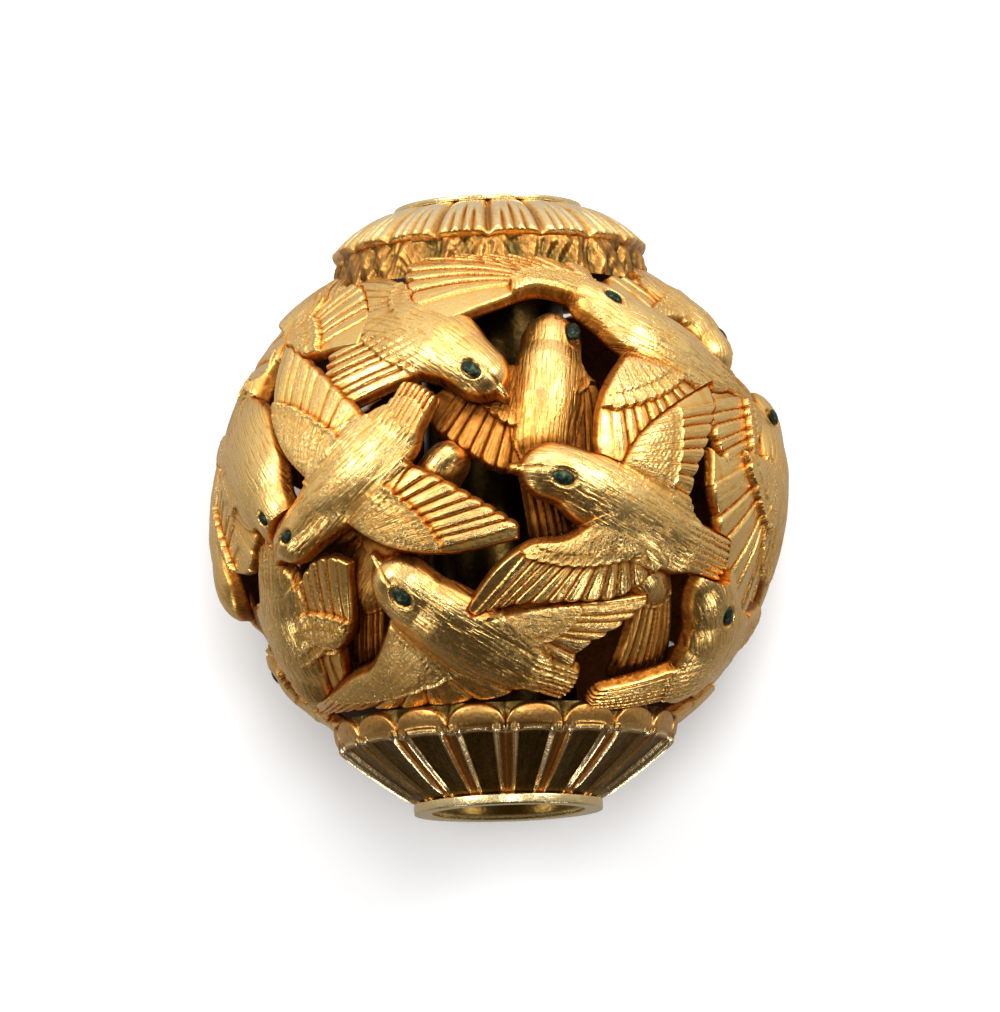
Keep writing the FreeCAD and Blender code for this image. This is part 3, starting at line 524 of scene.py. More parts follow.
class Body:
    """Head and body. Stations count the spine's points, and drops are from the crest in millimetres."""
    line_points = 181
    stations = (0.0, 0.20, 0.40, 0.52, 0.66, 0.82, 1.0, 1.5, 2.0, 3.0, 4.0, 5.0)
    drops = (0.40, 0.32, 0.24, 0.12, 0.03, 0.0, 0.0, 0.05, 0.0, 0.07, 0.26, 0.40)
    beak_share, head_shares = 0.02, (0.17, 0.34, 0.62, 0.86, 0.98)
    neck_share, rump_share, end_share = 0.47, 0.92, 0.72
    beak_end, mouth_end, neck = 3, 5, 7
    mouth_at, mouth_width, mouth_inside = 0.02, 0.045, 0.04
    stroke, more_stroke = 0.38, 0.25


def body_profile(half, level, cut):
    """Half width and crest height at each of the body's stations."""
    half = [h * cut.body_width for h in half]
    head = half[1]
    widths = [max(half[0], Body.beak_share * head), *(share * head for share in Body.head_shares), head,
              Body.neck_share * (half[1] + half[2]), half[2], half[3], Body.rump_share * half[4],
              Body.end_share * half[5]]
    crest = cut.body_relief + level * cut.rise_per_level
    return widths, [crest - drop for drop in Body.drops]


def carve_body(carving, spine, half, level, cut):
    spine_line = smooth_line(spine, Body.line_points)
    walked = np.concatenate([[0], np.cumsum(np.linalg.norm(np.diff(spine, axis=0), axis=1))])
    station_at = np.interp(Body.stations, np.arange(len(spine)), walked / walked[-1])
    widths, crests = body_profile(half, level, cut)
    shares = np.linspace(0, 1, len(spine_line))
    wide, high = np.interp(shares, station_at, widths), np.interp(shares, station_at, crests)
    base = cut.body_base
    grid = carving.points.reshape(*carving.shape, 2)
    depth, height = np.full(carving.shape, FAR_OUTSIDE), np.full(carving.shape, UNCARVED)
    along, across = np.zeros(carving.shape), np.zeros(carving.shape)
    ahead = np.gradient(spine_line, axis=0)
    for place, half_width, crest, way, share in zip(spine_line, wide, high, ahead, shares):
        low = np.maximum(((place - half_width - Sheets.window - grid[0, 0]) / cut.grid_step).astype(int), 0)
        top = ((place + half_width + Sheets.window - grid[0, 0]) / cut.grid_step).astype(int) + 1
        window = (slice(low[0], top[0]), slice(low[1], top[1]))
        away = grid[window] - place
        distance = np.hypot(away[..., 0], away[..., 1])
        inside = half_width - distance
        nearer = inside > depth[window]
        depth[window] = np.where(nearer, inside, depth[window])
        lateral = (way[0] * away[..., 1] - way[1] * away[..., 0]) / np.hypot(*way)
        along[window] = np.where(nearer, share * walked[-1], along[window])
        across[window] = np.where(nearer, lateral, across[window])
        rise = np.clip(1 - (distance / half_width) ** 2, 0, 1) ** cut.body_roundness
        raised = np.where(inside > -Sheets.carved_beyond, base + (crest - base) * rise, UNCARVED)
        height[window] = np.maximum(height[window], raised)
    depth, height, along, across = depth.ravel(), height.ravel(), along.ravel(), across.ravel()
    share = along / walked[-1]
    mouth = ridge(across, Body.mouth_at, Body.mouth_width) * eased(0.0, Body.mouth_inside, depth)
    mouth = mouth * (1 - eased(station_at[Body.beak_end], station_at[Body.mouth_end], share))
    stroke = Body.stroke + Body.more_stroke * eased(station_at[Body.beak_end], station_at[Body.neck], share)
    carving.add(height - cut.beak_line * mouth, depth, along, across, stroke, cut.body_blend)
    return spine_line


class Eye:
    """An eye and its surround, in shares of its size."""
    line_at, line_width = 1.18, 0.16
    lid_at, lid_width = 1.62, 0.2
    socket = 1.1
    seat_ring = 1.5
    spine_steps = 3
    just_ahead = 0.05
    segments, rings = 32, 18


def carve_eye(carving, eye, way, size, cut):
    """A cut line round the eye, a low lid outside it and the socket inside."""
    away = carving.points - eye
    across = np.array([-way[1], way[0]])
    ring = np.hypot(away @ way / (size * cut.eye_long), away @ across / (size * cut.eye_short))
    carving.height = carving.height - cut.eye_cut * ridge(ring, Eye.line_at, Eye.line_width)
    carving.height = carving.height + cut.eye_lid * ridge(ring, Eye.lid_at, Eye.lid_width)
    carving.height = np.where(ring < Eye.socket, carving.height - cut.eye_cut, carving.height)


class Fit:
    """How a bird gives way to those above it, in millimetres."""
    other_side = -0.2
    too_far = -0.1
    press_width, press_room = 0.05, 0.02
    slope_power = 0.7


class PatinaAndShade:
    """Where patina and painted shade darken the birds: both in the recesses, painted shade alone on deeper levels,
    sloping walls and the underside. A pass has its reach in grid points, its weight and its depth in millimetres.
    """
    passes = ((2, 0.80, 0.032), (9, 0.68, 0.16))
    deep_from, deep_to, deep_weight = 0.55, 1.6, 0.8
    wall_weight, most, underside = 1.1, 1.2, 1.6


class Bird:
    """One bird carved on its own sheet."""

    def __init__(self, row, cut):
        self.floor = cut.ball_radius - cut.relief_depth - row["level"] * cut.level_step
        corners = [row["spine"]] + [edge for wing in row["wings"] for edge in wing[:2]] + [list(row["tail"][:2])]
        deeper = cut.ball_radius / (self.floor + cut.sheet_height)
        directions = on_ball([place for part in corners for place in part], deeper)
        self.sheet = Sheet(directions, cut.ball_radius)
        self.lay_grid(self.sheet.flat(directions), cut)
        carving = Carving(self.points, self.shape)
        self.carve(row, carving, deeper, cut)
        edge = np.clip((carving.depth + cut.slope_out) / (cut.slope_out + cut.slope_in), 0, 1)
        self.slope = 1 - edge
        carving.height = carving.height * (cut.slope_foot + (1 - cut.slope_foot) * edge ** Fit.slope_power)
        self.depth = carving.depth + cut.slope_out
        self.radius = self.floor + np.maximum(carving.height, cut.slope_foot * cut.blade_height)
        self.along, self.across, self.stroke = carving.along, carving.across, carving.stroke

    def lay_grid(self, drawn, cut):
        """The grid of points that is carved, round all that is drawn."""
        low, high = drawn.min(0) - Sheets.margin, drawn.max(0) + Sheets.margin
        self.step, self.low = cut.grid_step, low
        self.shape = tuple(np.ceil((high - low) / self.step).astype(int) + 1)
        i, j = np.meshgrid(np.arange(self.shape[0]), np.arange(self.shape[1]), indexing="ij")
        self.points = np.stack([low[0] + i.ravel() * self.step, low[1] + j.ravel() * self.step], 1)

    def carve(self, row, carving, deeper, cut):
        def flat(places):
            return self.sheet.flat(on_ball(places, deeper))

        size = cut.ball_radius
        for lead, rear, count in row["wings"]:
            carve_wing(carving, flat(lead), flat(rear), count, cut)
        root, tip, root_half, tip_half = row["tail"]
        ends = flat([root, tip])
        carve_tail(carving, (ends[0], ends[1], root_half * size, tip_half * size), cut.tail_feathers, cut)
        spine = carve_body(carving, flat(row["spine"]), [h * size for h in row["half"]], row["level"], cut)
        self.eye = None
        if row["eye"]:
            place = flat([row["eye"][:2]])[0]
            near = np.argmin(np.linalg.norm(spine - place, axis=1))
            way = spine[min(near + Eye.spine_steps, len(spine) - 1)] - spine[max(near - Eye.spine_steps, 0)]
            way = way / np.hypot(*way)
            self.eye = (place, way, row["eye"][2] * size)
            carve_eye(carving, *self.eye, cut)

    def sample(self, values, directions, outside):
        """Values of this bird's grid at other directions."""
        spot = (self.sheet.flat(directions) - self.low) / self.step
        facing = directions @ self.sheet.centre > Sheets.facing
        cell = np.floor(spot).astype(int)
        fits = facing & (cell >= 0).all(1) & (cell < np.array(self.shape) - 1).all(1)
        cell[~fits] = 0
        mix = spot - cell
        grid = values.reshape(self.shape)
        i, j = cell[:, 0], cell[:, 1]
        u, v = np.clip(mix[:, 0], 0, 1), np.clip(mix[:, 1], 0, 1)
        value = (grid[i, j] * (1 - u) * (1 - v) + grid[i + 1, j] * u * (1 - v)
                 + grid[i, j + 1] * (1 - u) * v + grid[i + 1, j + 1] * u * v)
        return np.where(fits, value, outside)

    def fit_under(self, covers, cut):
        """Gives way to the birds above: cut back on the same level, pressed down on a lower one."""
        directions = self.sheet.lifted(self.points)
        self.seen = self.radius.copy()
        footprint = self.depth.copy()
        for bird, sign in covers:
            if sign * (bird.sheet.centre @ self.sheet.centre) < Fit.other_side:
                continue
            over = bird.sample(bird.depth, directions * sign, FAR_OUTSIDE)
            if over.max() < Fit.too_far:
                continue
            if bird.floor - self.floor < cut.thinnest:
                footprint = np.minimum(footprint, cut.overlap - over)
            else:
                press = eased(cut.overlap, cut.overlap + Fit.press_width, over)
                pressed = np.minimum(self.radius, bird.floor - Fit.press_room)
                self.radius = self.radius * (1 - press) + pressed * press
            top = bird.sample(bird.radius, directions * sign, self.floor)
            self.seen = np.where(over > 0, np.maximum(self.seen, top), self.seen)
        upper = cut.upper_seat / cut.ball_radius - directions[:, 1]
        lower = cut.lower_seat / cut.ball_radius + directions[:, 1]
        footprint = np.minimum(footprint, np.minimum(upper, lower) * cut.ball_radius)
        self.footprint = biggest_patch(footprint.reshape(self.shape))
        self.directions = directions

    def patina(self, cut):
        """Patina and painted shade in the recesses, from the height around each point, with painted shade on deeper
        birds and on the sloping walls.
        """
        mask = (self.depth > 0).astype(float).reshape(self.shape)
        seen = self.seen.reshape(self.shape)
        darkening = np.zeros(self.shape)
        # Patina and painted shade: a point lower than the heights around it is coloured darker
        for reach, weight, scale in PatinaAndShade.passes:
            around = blurred(seen * mask, reach) / np.maximum(blurred(mask, reach), 1e-3)
            darkening += weight * np.clip((around - self.radius.reshape(self.shape)) / scale, 0, 1)
        # Painted shade: the deeper a bird lies in the ball, the darker its colour
        deep = eased(cut.ball_radius - PatinaAndShade.deep_from, cut.ball_radius - PatinaAndShade.deep_to, self.radius)
        darkening = darkening + PatinaAndShade.deep_weight * deep.reshape(self.shape)
        # Painted shade: the sloping walls at a bird's edge are coloured darker
        return np.clip(darkening + PatinaAndShade.wall_weight * self.slope.reshape(self.shape), 0, PatinaAndShade.most).ravel()


def blurred(grid, reach):
    """Mean of the grid within a reach, taken twice along each axis."""
    width = 2 * reach + 1
    for axis in (0, 0, 1, 1):
        padded = np.pad(grid, [(reach + 1, reach) if a == axis else (0, 0) for a in (0, 1)])
        total = padded.cumsum(axis)
        upto = np.take(total, range(width, total.shape[axis]), axis)
        before = np.take(total, range(0, total.shape[axis] - width), axis)
        grid = (upto - before) / width
    return grid


def biggest_patch(footprint):
    """Only the largest connected part of the footprint stays."""
    inside = footprint > 0
    label = np.where(inside, np.arange(inside.size).reshape(inside.shape) + 1, 0)
    while True:
        grown = label.copy()
        grown[1:] = np.maximum(grown[1:], label[:-1])
        grown[:-1] = np.maximum(grown[:-1], label[1:])
        grown[:, 1:] = np.maximum(grown[:, 1:], grown[:, :-1])
        grown[:, :-1] = np.maximum(grown[:, :-1], grown[:, 1:])
        grown[~inside] = 0
        if (grown == label).all():
            break
        label = grown
    names, counts = np.unique(label[inside], return_counts=True)
    keep = names[counts.argmax()]
    return np.where(label == keep, footprint, np.minimum(footprint, -0.01)).ravel()


class Mesh:
    """Cutting a bird out of its grid; the crossing shares keep thin triangles away."""
    least_crossing, most_crossing = 0.12, 0.88
    least_height = 0.05
    sharp_angle = 55


def turned(triangles, flags):
    """Triangles turned so that each one's flagged corner comes first."""
    order = (flags.argmax(1)[:, None] + np.arange(3)) % 3
    return np.take_along_axis(triangles, order, 1)


def cut_out(bird):
    """Triangles of the bird's grid cut along the edge of its footprint, and the edge itself."""
    rows, columns = bird.shape
    field = bird.footprint
    index = np.arange(rows * columns).reshape(rows, columns)
    a, b, c, d = index[:-1, :-1], index[1:, :-1], index[1:, 1:], index[:-1, 1:]
    triangles = np.concatenate([np.stack([a, b, c], -1).reshape(-1, 3), np.stack([a, c, d], -1).reshape(-1, 3)])
    inside = field > 0
    count = inside[triangles].sum(1)
    one, two = triangles[count == 1], triangles[count == 2]
    one, two = turned(one, inside[one]), turned(two, ~inside[two])
    edges = np.concatenate([one[:, [0, 1]], one[:, [0, 2]], two[:, [1, 0]], two[:, [2, 0]]])
    low_high = np.sort(edges, 1)
    keys, place = np.unique(low_high[:, 0].astype(np.int64) * field.size + low_high[:, 1], return_inverse=True)
    p, q = keys // field.size, keys % field.size
    share = np.clip(field[p] / (field[p] - field[q]), Mesh.least_crossing, Mesh.most_crossing)
    place = place + field.size
    n1, n2 = len(one), len(two)
    one_b, one_c = place[:n1], place[n1:2 * n1]
    two_b, two_c = place[2 * n1:2 * n1 + n2], place[2 * n1 + n2:]
    cut = [np.stack([one[:, 0], one_b, one_c], 1),
           np.stack([two[:, 1], two[:, 2], two_c], 1),
           np.stack([two[:, 1], two_c, two_b], 1)]
    rim = np.concatenate([np.stack([one_b, one_c], 1), np.stack([two_c, two_b], 1)])
    return triangles[count == 3], np.concatenate(cut), rim, (p, q, share)


def on_grid(values, cut_places):
    """Grid values followed by the values where the footprint's edge crosses grid lines."""
    p, q, share = cut_places
    share = share.reshape(-1, *([1] * (values.ndim - 1)))
    return np.concatenate([values, values[p] * (1 - share) + values[q] * share])


def coarse_floor(bird, whole, block):
    """The underside: large blocks well inside the footprint become single faces."""
    rows, columns = bird.shape
    inside = (bird.footprint > 0).reshape(rows, columns)
    faces, taken = [], np.zeros((rows, columns), bool)
    steps = np.arange(block)
    for i in range(0, rows - 1 - block, block):
        for j in range(0, columns - 1 - block, block):
            if inside[i:i + block + 1, j:j + block + 1].all():
                ring_i = np.concatenate([i + steps, np.full(block, i + block), i + block - steps, np.full(block, i)])
                ring_j = np.concatenate([np.full(block, j), j + steps, np.full(block, j + block), j + block - steps])
                faces.append(ring_i * columns + ring_j)
                taken[i:i + block, j:j + block] = True
    return faces, whole[~taken.ravel()[whole.min(1)]]


def store(mesh, name, values):
    """Keeps a number or a vector for every point of a mesh."""
    kind, key = ("FLOAT", "value") if values.ndim == 1 else ("FLOAT_VECTOR", "vector")
    mesh.attributes.new(name, kind, "POINT").data.foreach_set(key, values.astype(np.float32).ravel())


def mesh_of(name, places, loops, totals):
    starts = np.concatenate([[0], np.cumsum(totals)[:-1]]).astype(np.int32)
    mesh = bpy.data.meshes.new(name)
    mesh.vertices.add(len(places))
    mesh.vertices.foreach_set("co", places.ravel())
    mesh.loops.add(len(loops))
    mesh.loops.foreach_set("vertex_index", loops.astype(np.int32))
    mesh.polygons.add(len(totals))
    mesh.polygons.foreach_set("loop_start", starts)
    mesh.polygons.foreach_set("loop_total", totals.astype(np.int32))
    mesh.update(calc_edges=True)
    return mesh


def relief_mesh(name, bird, cut, mirror):
    """A closed mesh: carved top, walls pointing at the middle of the ball, and a plain underside."""
    whole, edge_triangles, rim, cut_places = cut_out(bird)
    directions = unit(on_grid(bird.directions, cut_places))
    top = np.maximum(on_grid(bird.radius, cut_places), bird.floor + Mesh.least_height)
    total = len(directions)
    blocks, under = coarse_floor(bird, whole, cut.floor_block)
    under = np.concatenate([under, edge_triangles])[:, ::-1] + total
    blocks = [face[::-1] + total for face in blocks]
    walls = np.stack([rim[:, 1], rim[:, 0], rim[:, 0] + total, rim[:, 1] + total], 1)
    faces = [np.concatenate([whole, edge_triangles]), under, walls]
    loops = np.concatenate([f.ravel() for f in faces] + blocks)
    totals = np.concatenate([np.full(len(f), f.shape[1]) for f in faces] + [np.full(len(blocks), 4 * cut.floor_block)])
    used, loops = np.unique(loops, return_inverse=True)
    if mirror:
        starts = np.concatenate([[0], np.cumsum(totals)[:-1]])
        face_of = np.repeat(np.arange(len(totals)), totals)
        loops = loops[starts[face_of] + totals[face_of] - 1 - (np.arange(len(loops)) - starts[face_of])]
    places = np.concatenate([directions * top[:, None], directions * bird.floor])[used]
    patina = on_grid(bird.patina(cut), cut_places)
    # Painted shade: the whole underside takes the underside darkening, near the darkest colour
    patina = np.concatenate([patina, np.full(total, PatinaAndShade.underside)])[used]
    flow = on_grid(np.stack([bird.along, bird.across, bird.stroke], 1), cut_places)
    flow = np.concatenate([flow, flow * (1, 1, 0)])[used]
    mesh = mesh_of(name, places * (-MM if mirror else MM), loops, totals)
    store(mesh, "patina", patina)
    store(mesh, "stroke_flow", flow)
    mesh.polygons.foreach_set("use_smooth", np.ones(len(totals), bool))
    mesh.set_sharp_from_angle(angle=math.radians(Mesh.sharp_angle))
    piece = bpy.data.objects.new(name, mesh)
    bpy.context.collection.objects.link(piece)
    return piece


def eye_mesh(name, bird, cut, mirror):
    """A small flattened dome lying in its socket."""
    place, way, size = bird.eye
    centre = bird.sheet.lifted(place[None])[0]
    ahead = bird.sheet.lifted((place + way * Eye.just_ahead)[None])[0] - centre
    ahead = unit(ahead - centre * (ahead @ centre))
    aside = np.cross(centre, ahead)
    ways = np.array([way, -way, way[::-1] * (-1, 1), way[::-1] * (1, -1)])
    ring = bird.sheet.lifted(place + size * Eye.seat_ring * ways)
    seat = bird.sample(bird.radius, ring, bird.floor).max()
    height = size * cut.eye_height
    scale = np.stack([ahead * size * cut.eye_long, aside * size * cut.eye_short, centre * height], 1)
    base = centre * (seat - height * cut.eye_sunk)
    sign = -MM if mirror else MM
    matrix = Matrix([[*(scale[r] * sign), base[r] * sign] for r in range(3)] + [[0, 0, 0, 1]])
    bpy.ops.mesh.primitive_uv_sphere_add(segments=Eye.segments, ring_count=Eye.rings, radius=1)
    piece = bpy.context.object
    piece.name = piece.data.name = name
    piece.data.transform(matrix)
    if mirror:
        piece.data.flip_normals()
    bpy.ops.object.shade_smooth()
    return piece


class Turned:
    """Turned pieces and the painted shade on them; lengths in millimetres, angles in degrees."""
    most_rounding = 0.45
    sharp_angle, petals_sharp_angle = 40, 60
    merge_within = 1e-8
    sleeve_length = 0.9
    edge_radius, edge_steps = 0.05, 5
    mouth_in, mouth_down, mouth_out, mouth_level = 0.04, 0.05, 0.30, 0.10
    mouth_shares = np.linspace(0.08, 0.92, 12)
    eyelet_around, tube_around = 160, 96
    tube_edge_radius, tube_edge_steps = 0.04, 4
    wall_in = 0.1
    # Painted shade inside the bore and on the tube's outside, which lies deep in the ball
    bore_patina, tube_patina = 1.1, 1.7


def ring_grid(name, stations, around):
    """A flat grid to be bent into a ring, with the turn and the station of each of its points."""
    bpy.ops.mesh.primitive_grid_add(x_subdivisions=stations, y_subdivisions=around, size=1)
    piece = bpy.context.object
    piece.name = piece.data.name = name
    flat = np.empty(len(piece.data.vertices) * 3)
    piece.data.vertices.foreach_get("co", flat)
    station = np.rint((flat[0::3] + 0.5) * stations).astype(int) % stations
    turn = np.rint((flat[1::3] + 0.5) * around).astype(int) % around / around * 2 * math.pi
    return piece, turn, station


def bend_ring(piece, turn, radius, height):
    points = np.stack([radius * np.sin(turn), height, radius * np.cos(turn)], 1) * MM
    piece.data.vertices.foreach_set("co", points.ravel())
    piece.data.update()


def settle_normals(piece, angle):
    bpy.ops.object.select_all(action="DESELECT")
    piece.select_set(True)
    bpy.context.view_layer.objects.active = piece
    bpy.ops.object.mode_set(mode="EDIT")
    bpy.ops.mesh.select_all(action="SELECT")
    bpy.ops.mesh.remove_doubles(threshold=Turned.merge_within)
    bpy.ops.mesh.normals_make_consistent(inside=False)
    bpy.ops.object.mode_set(mode="OBJECT")
    bpy.ops.object.shade_smooth()
    piece.data.set_sharp_from_angle(angle=math.radians(angle))


def softened(corners, radius, steps):
    """A closed profile with its corners rounded."""
    corners = np.asarray(corners, float)
    rounded = []
    for before, corner, after in zip(np.roll(corners, 1, 0), corners, np.roll(corners, -1, 0)):
        back, ahead = before - corner, after - corner
        reach = min(radius, Turned.most_rounding * np.hypot(*back), Turned.most_rounding * np.hypot(*ahead))
        start, end = corner + unit(back) * reach, corner + unit(ahead) * reach
        rounded += [curve(start, corner, end, t) for t in np.linspace(0, 1, steps)]
    return np.array(rounded)


def lathe_piece(name, profile, around, side):
    piece, turn, station = ring_grid(name, len(profile), around)
    bend_ring(piece, turn, profile[station, 0], profile[station, 1] * side)
    settle_normals(piece, Turned.sharp_angle)
    return piece


class Petals:
    """A collar's section and its petals. Heights are in millimetres, and phi is 0 in a petal's middle and 1
    between two petals. A dart has its place across the petal and where it starts on the way to the rim."""
    face_stations, skirt_stations, points_across = 30, 18, 48
    inner_marks = (0.0, 0.5, 1.0, 2.0, 2.5, 3.0)
    seat_in = (0.35, 0.6, 0.95)
    seat_lift, sleeve_down = 0.02, (0.6, 0.3)
    darts = ((-0.42, 0.42), (0.0, 0.20), (0.42, 0.38))
    dart_width, dart_widens, dart_opens = 0.04, 0.22, 0.3
    tip_fullness, tip_from = 0.94, 0.6
    crown, groove, groove_width = 0.05, 0.12, 0.16
    outline_at, outline_width, outline_height = 0.68, 0.10, 0.07
    between_opens, between, between_dip = (0.72, 0.80), 0.05, 0.06
    dish, dish_dip, dish_width, rim_from = 0.05, 0.03, 0.6, 0.94
    grow_until, least_relief = 0.25, 0.25
    arch_power, arch_share = 2.6, 0.92
    band_rough, knuckle, foot = 0.045, 0.08, 0.12
    flow_length, stroke = 2.4, 0.35
    # Painted shade on the inner walls and the seat, hidden inside the ball
    wall_shade = 1.5


FACE, SKIRT, INNER = range(3)


def collar_stations():
    """Kinds and shares along a collar's section: face from neck to rim, skirt, seat and inner wall."""
    shares = [np.linspace(0, 1, Petals.face_stations), np.linspace(0.06, 1, Petals.skirt_stations), Petals.inner_marks]
    return np.repeat((FACE, SKIRT, INNER), [len(part) for part in shares]), np.concatenate(shares)


def band_waves(turn, v):
    """The rough surface of the band under the upper petals."""
    return (np.sin(turn * 13 + 3 * np.sin(turn * 5 + 2 * v)) + np.sin(turn * 31 - 4 * v + 2 * np.sin(turn * 7))
            + 0.7 * np.sin(turn * 47 + 6 * v + 2 * np.sin(turn * 11 + 3 * v))
            + 0.5 * np.sin(turn * 89 - 9 * v) * np.sin(v * 17 + 4 * np.sin(turn * 19)))


def dart(across, share, middle, start, width):
    """How much of a tapered cut lies at places across a petal and along it."""
    wide = width + Petals.dart_widens * np.clip(share - start, 0, 1)
    return np.clip(1 - np.abs(across - middle) / wide, 0, 1)


def upper_carving(across, phi, u, cut):
    """Height of an upper petal's face: a low crown, a groove at its sides and three darts."""
    carved = Petals.crown * (1 - phi ** 2) - Petals.groove * ridge(phi, 1, Petals.groove_width)
    for middle, start in Petals.darts:
        cut_in = dart(across, u, middle, start, Petals.dart_width) * eased(start, start + Petals.dart_opens, u)
        carved = carved - cut.dart_depth * cut_in
    return carved


def lower_carving(phi, u):
    """Height of a lower petal's face: a raised outline round a dish, and a dip between the petals."""
    outline = np.sqrt(np.maximum(0, 1 - ((phi - Petals.outline_at) / Petals.outline_width) ** 2))
    between = eased(*Petals.between_opens, phi) * (Petals.between + Petals.between_dip * (1 - phi))
    dish = (Petals.dish + Petals.dish_dip * (1 - phi / Petals.dish_width)) * (phi < Petals.outline_at)
    return Petals.outline_height * outline - (dish + between) * (1 - eased(Petals.rim_from, 1.0, u))


def arch(phi):
    """Outline of a petal's end on the skirt."""
    return np.sqrt(np.maximum(0, 1 - phi ** Petals.arch_power))


def upper_skirt(turn, v, rim_radius, shrink, cut):
    """Radius of the rough band under the upper petals."""
    rough = Petals.band_rough * band_waves(turn, v) * eased(0.14, 0.3, v)
    flare = cut.upper_flare * np.clip((v - 0.12) / 0.88, 0, 1)
    band = rim_radius - shrink * (1 - eased(0.1, 0.16, v)) + flare + rough
    return band - (cut.rim_lip + 0.04) * eased(0.10, 0.16, v)


def lower_skirt(phi, v, rim_radius, shrink, cut):
    """Radius of the arched ends of the lower petals."""
    knuckle = Petals.knuckle * np.sqrt(np.maximum(0, 1 - phi ** 2)) * np.sin(math.pi * np.clip(v * 0.8 + 0.1, 0, 1))
    inset = cut.arch_inset * eased(-0.05, 0.08, v - Petals.arch_share * arch(phi))
    return rim_radius - shrink + knuckle - inset + Petals.foot * v


def inner_wall(share, rim_radius, seat, cut):
    """Radius and height under the seat and up the sleeve."""
    points = [(rim_radius - inward, seat) for inward in Petals.seat_in[:2]]
    points.append((rim_radius - Petals.seat_in[2], seat + Petals.seat_lift))
    points += [(cut.sleeve_radius, cut.neck_height - down) for down in (*Petals.sleeve_down, 0)]
    which = np.searchsorted(Petals.inner_marks, share)
    return np.array(points)[np.clip(which, 0, len(points) - 1)]


def collar_colour(upper, turn, across, phi, share, kind):
    """Patina, painted shade and a painted highlight on a collar."""
    if upper:
        # Upper band: patina and painted shade, darker further under the rim as a painted shadow of it, and darker where
        # the rough waves are low
        skirt = 0.45 + 0.45 * eased(0.08, 0.2, share) + 0.2 * share - 0.15 * band_waves(turn, share)
        # Upper faces: patina and painted shade in the grooves between petals and in the darts
        face = 1.0 * ridge(phi, 1, 0.20) - 0.1
        for middle, start in Petals.darts:
            face = face + 0.8 * dart(across, share, middle, start, 0.05) * eased(start, start + 0.2, share)
    else:
        # Lower arches: patina and painted shade, darker where the wall stands back between the arches and further down
        skirt = 0.45 + 0.75 * eased(0.0, 0.15, share - Petals.arch_share * arch(phi)) + 0.25 * share
        # Lower faces: patina and painted shade in the dished middles; the raised outline and the rim end take the
        # rubbed colour, as wear and also a painted highlight
        outline = eased(0.54, 0.60, phi) * (1 - eased(0.74, 0.80, phi)) + eased(0.93, 0.99, share)
        face = np.where(phi < Petals.outline_at, 1.5, 0.95) * (1 - np.clip(outline, 0, 1)) - 0.2
    # Inner walls: painted shade
    return np.where(kind == FACE, face, np.where(kind == SKIRT, skirt, Petals.wall_shade))


def petal_collar(name, cut, side):
    upper = side > 0
    seat, rim_height, rim_radius, bulge = (
        (cut.upper_seat, cut.upper_rim_height, cut.upper_rim, cut.upper_bulge) if upper
        else (cut.lower_seat, cut.lower_rim_height, cut.lower_rim, cut.lower_bulge))
    neck = np.array([cut.neck_radius, cut.neck_height])
    rim = np.array([rim_radius, rim_height])
    slope = unit(neck - rim)
    outward = np.array([-slope[1], slope[0]]) * -1
    kinds, shares = collar_stations()
    piece, turn, station = ring_grid(name, len(shares), cut.petals * Petals.points_across)
    kind, share = kinds[station], shares[station]
    across = 2 * ((turn * cut.petals / (2 * math.pi)) % 1) - 1
    phi = np.abs(across)
    u = np.clip(share, 0, 1)
    carved = upper_carving(across, phi, u, cut) if upper else lower_carving(phi, u)
    grown = Petals.least_relief + (1 - Petals.least_relief) * eased(0.0, Petals.grow_until, u)
    lift = bulge * 4 * u * (1 - u) + carved * grown
    round_tip = 1 - np.sqrt(np.maximum(0, 1 - (Petals.tip_fullness * phi) ** 2))
    shrink = cut.tip_round * round_tip * eased(Petals.tip_from, 1.0, u)
    face = neck + (rim - neck) * u[:, None] + outward * lift[:, None]
    face = face - (rim - neck) / np.hypot(*(rim - neck)) * shrink[:, None]
    skirt = (upper_skirt(turn, u, rim_radius, shrink, cut) if upper
             else lower_skirt(phi, u, rim_radius, shrink, cut))
    carried = carved * (1 - eased(0, Petals.grow_until, u))
    skirt = np.stack([skirt + carried * outward[0], rim[1] - (rim[1] - seat) * u + carried * outward[1]], 1)
    kind_of = kind[:, None]
    section = np.where(kind_of == FACE, face,
                       np.where(kind_of == SKIRT, skirt, inner_wall(share, rim_radius, seat, cut)))
    bend_ring(piece, turn, section[:, 0], section[:, 1] * side)
    store(piece.data, "patina", collar_colour(upper, turn, across, phi, u, kind))
    flow = np.stack([u * Petals.flow_length, turn * rim_radius, np.full(len(u), Petals.stroke)], 1)
    store(piece.data, "stroke_flow", flow)
    settle_normals(piece, Turned.petals_sharp_angle)
    return piece


def eyelet_profile(cut, upper):
    face = cut.neck_height + (cut.upper_flange if upper else cut.lower_flange)
    tube = cut.bore_radius + cut.tube_wall
    sleeve_end = cut.neck_height - Turned.sleeve_length
    corners = [(cut.bore_radius, cut.tube_half), (tube, cut.tube_half), (tube, sleeve_end),
               (cut.sleeve_radius, sleeve_end), (cut.sleeve_radius, cut.neck_height),
               (cut.flange_radius, cut.neck_height), (cut.flange_radius, face), (cut.mouth_radius, face)]
    start = np.array([cut.mouth_radius, face - Turned.mouth_in])
    middle = np.array([cut.bore_radius + Turned.mouth_out, cut.tube_half + Turned.mouth_level])
    end = np.array([cut.bore_radius, cut.tube_half + Turned.mouth_down])
    funnel = [curve(start, middle, end, t) for t in Turned.mouth_shares]
    return np.array([*softened(corners, Turned.edge_radius, Turned.edge_steps), *funnel])


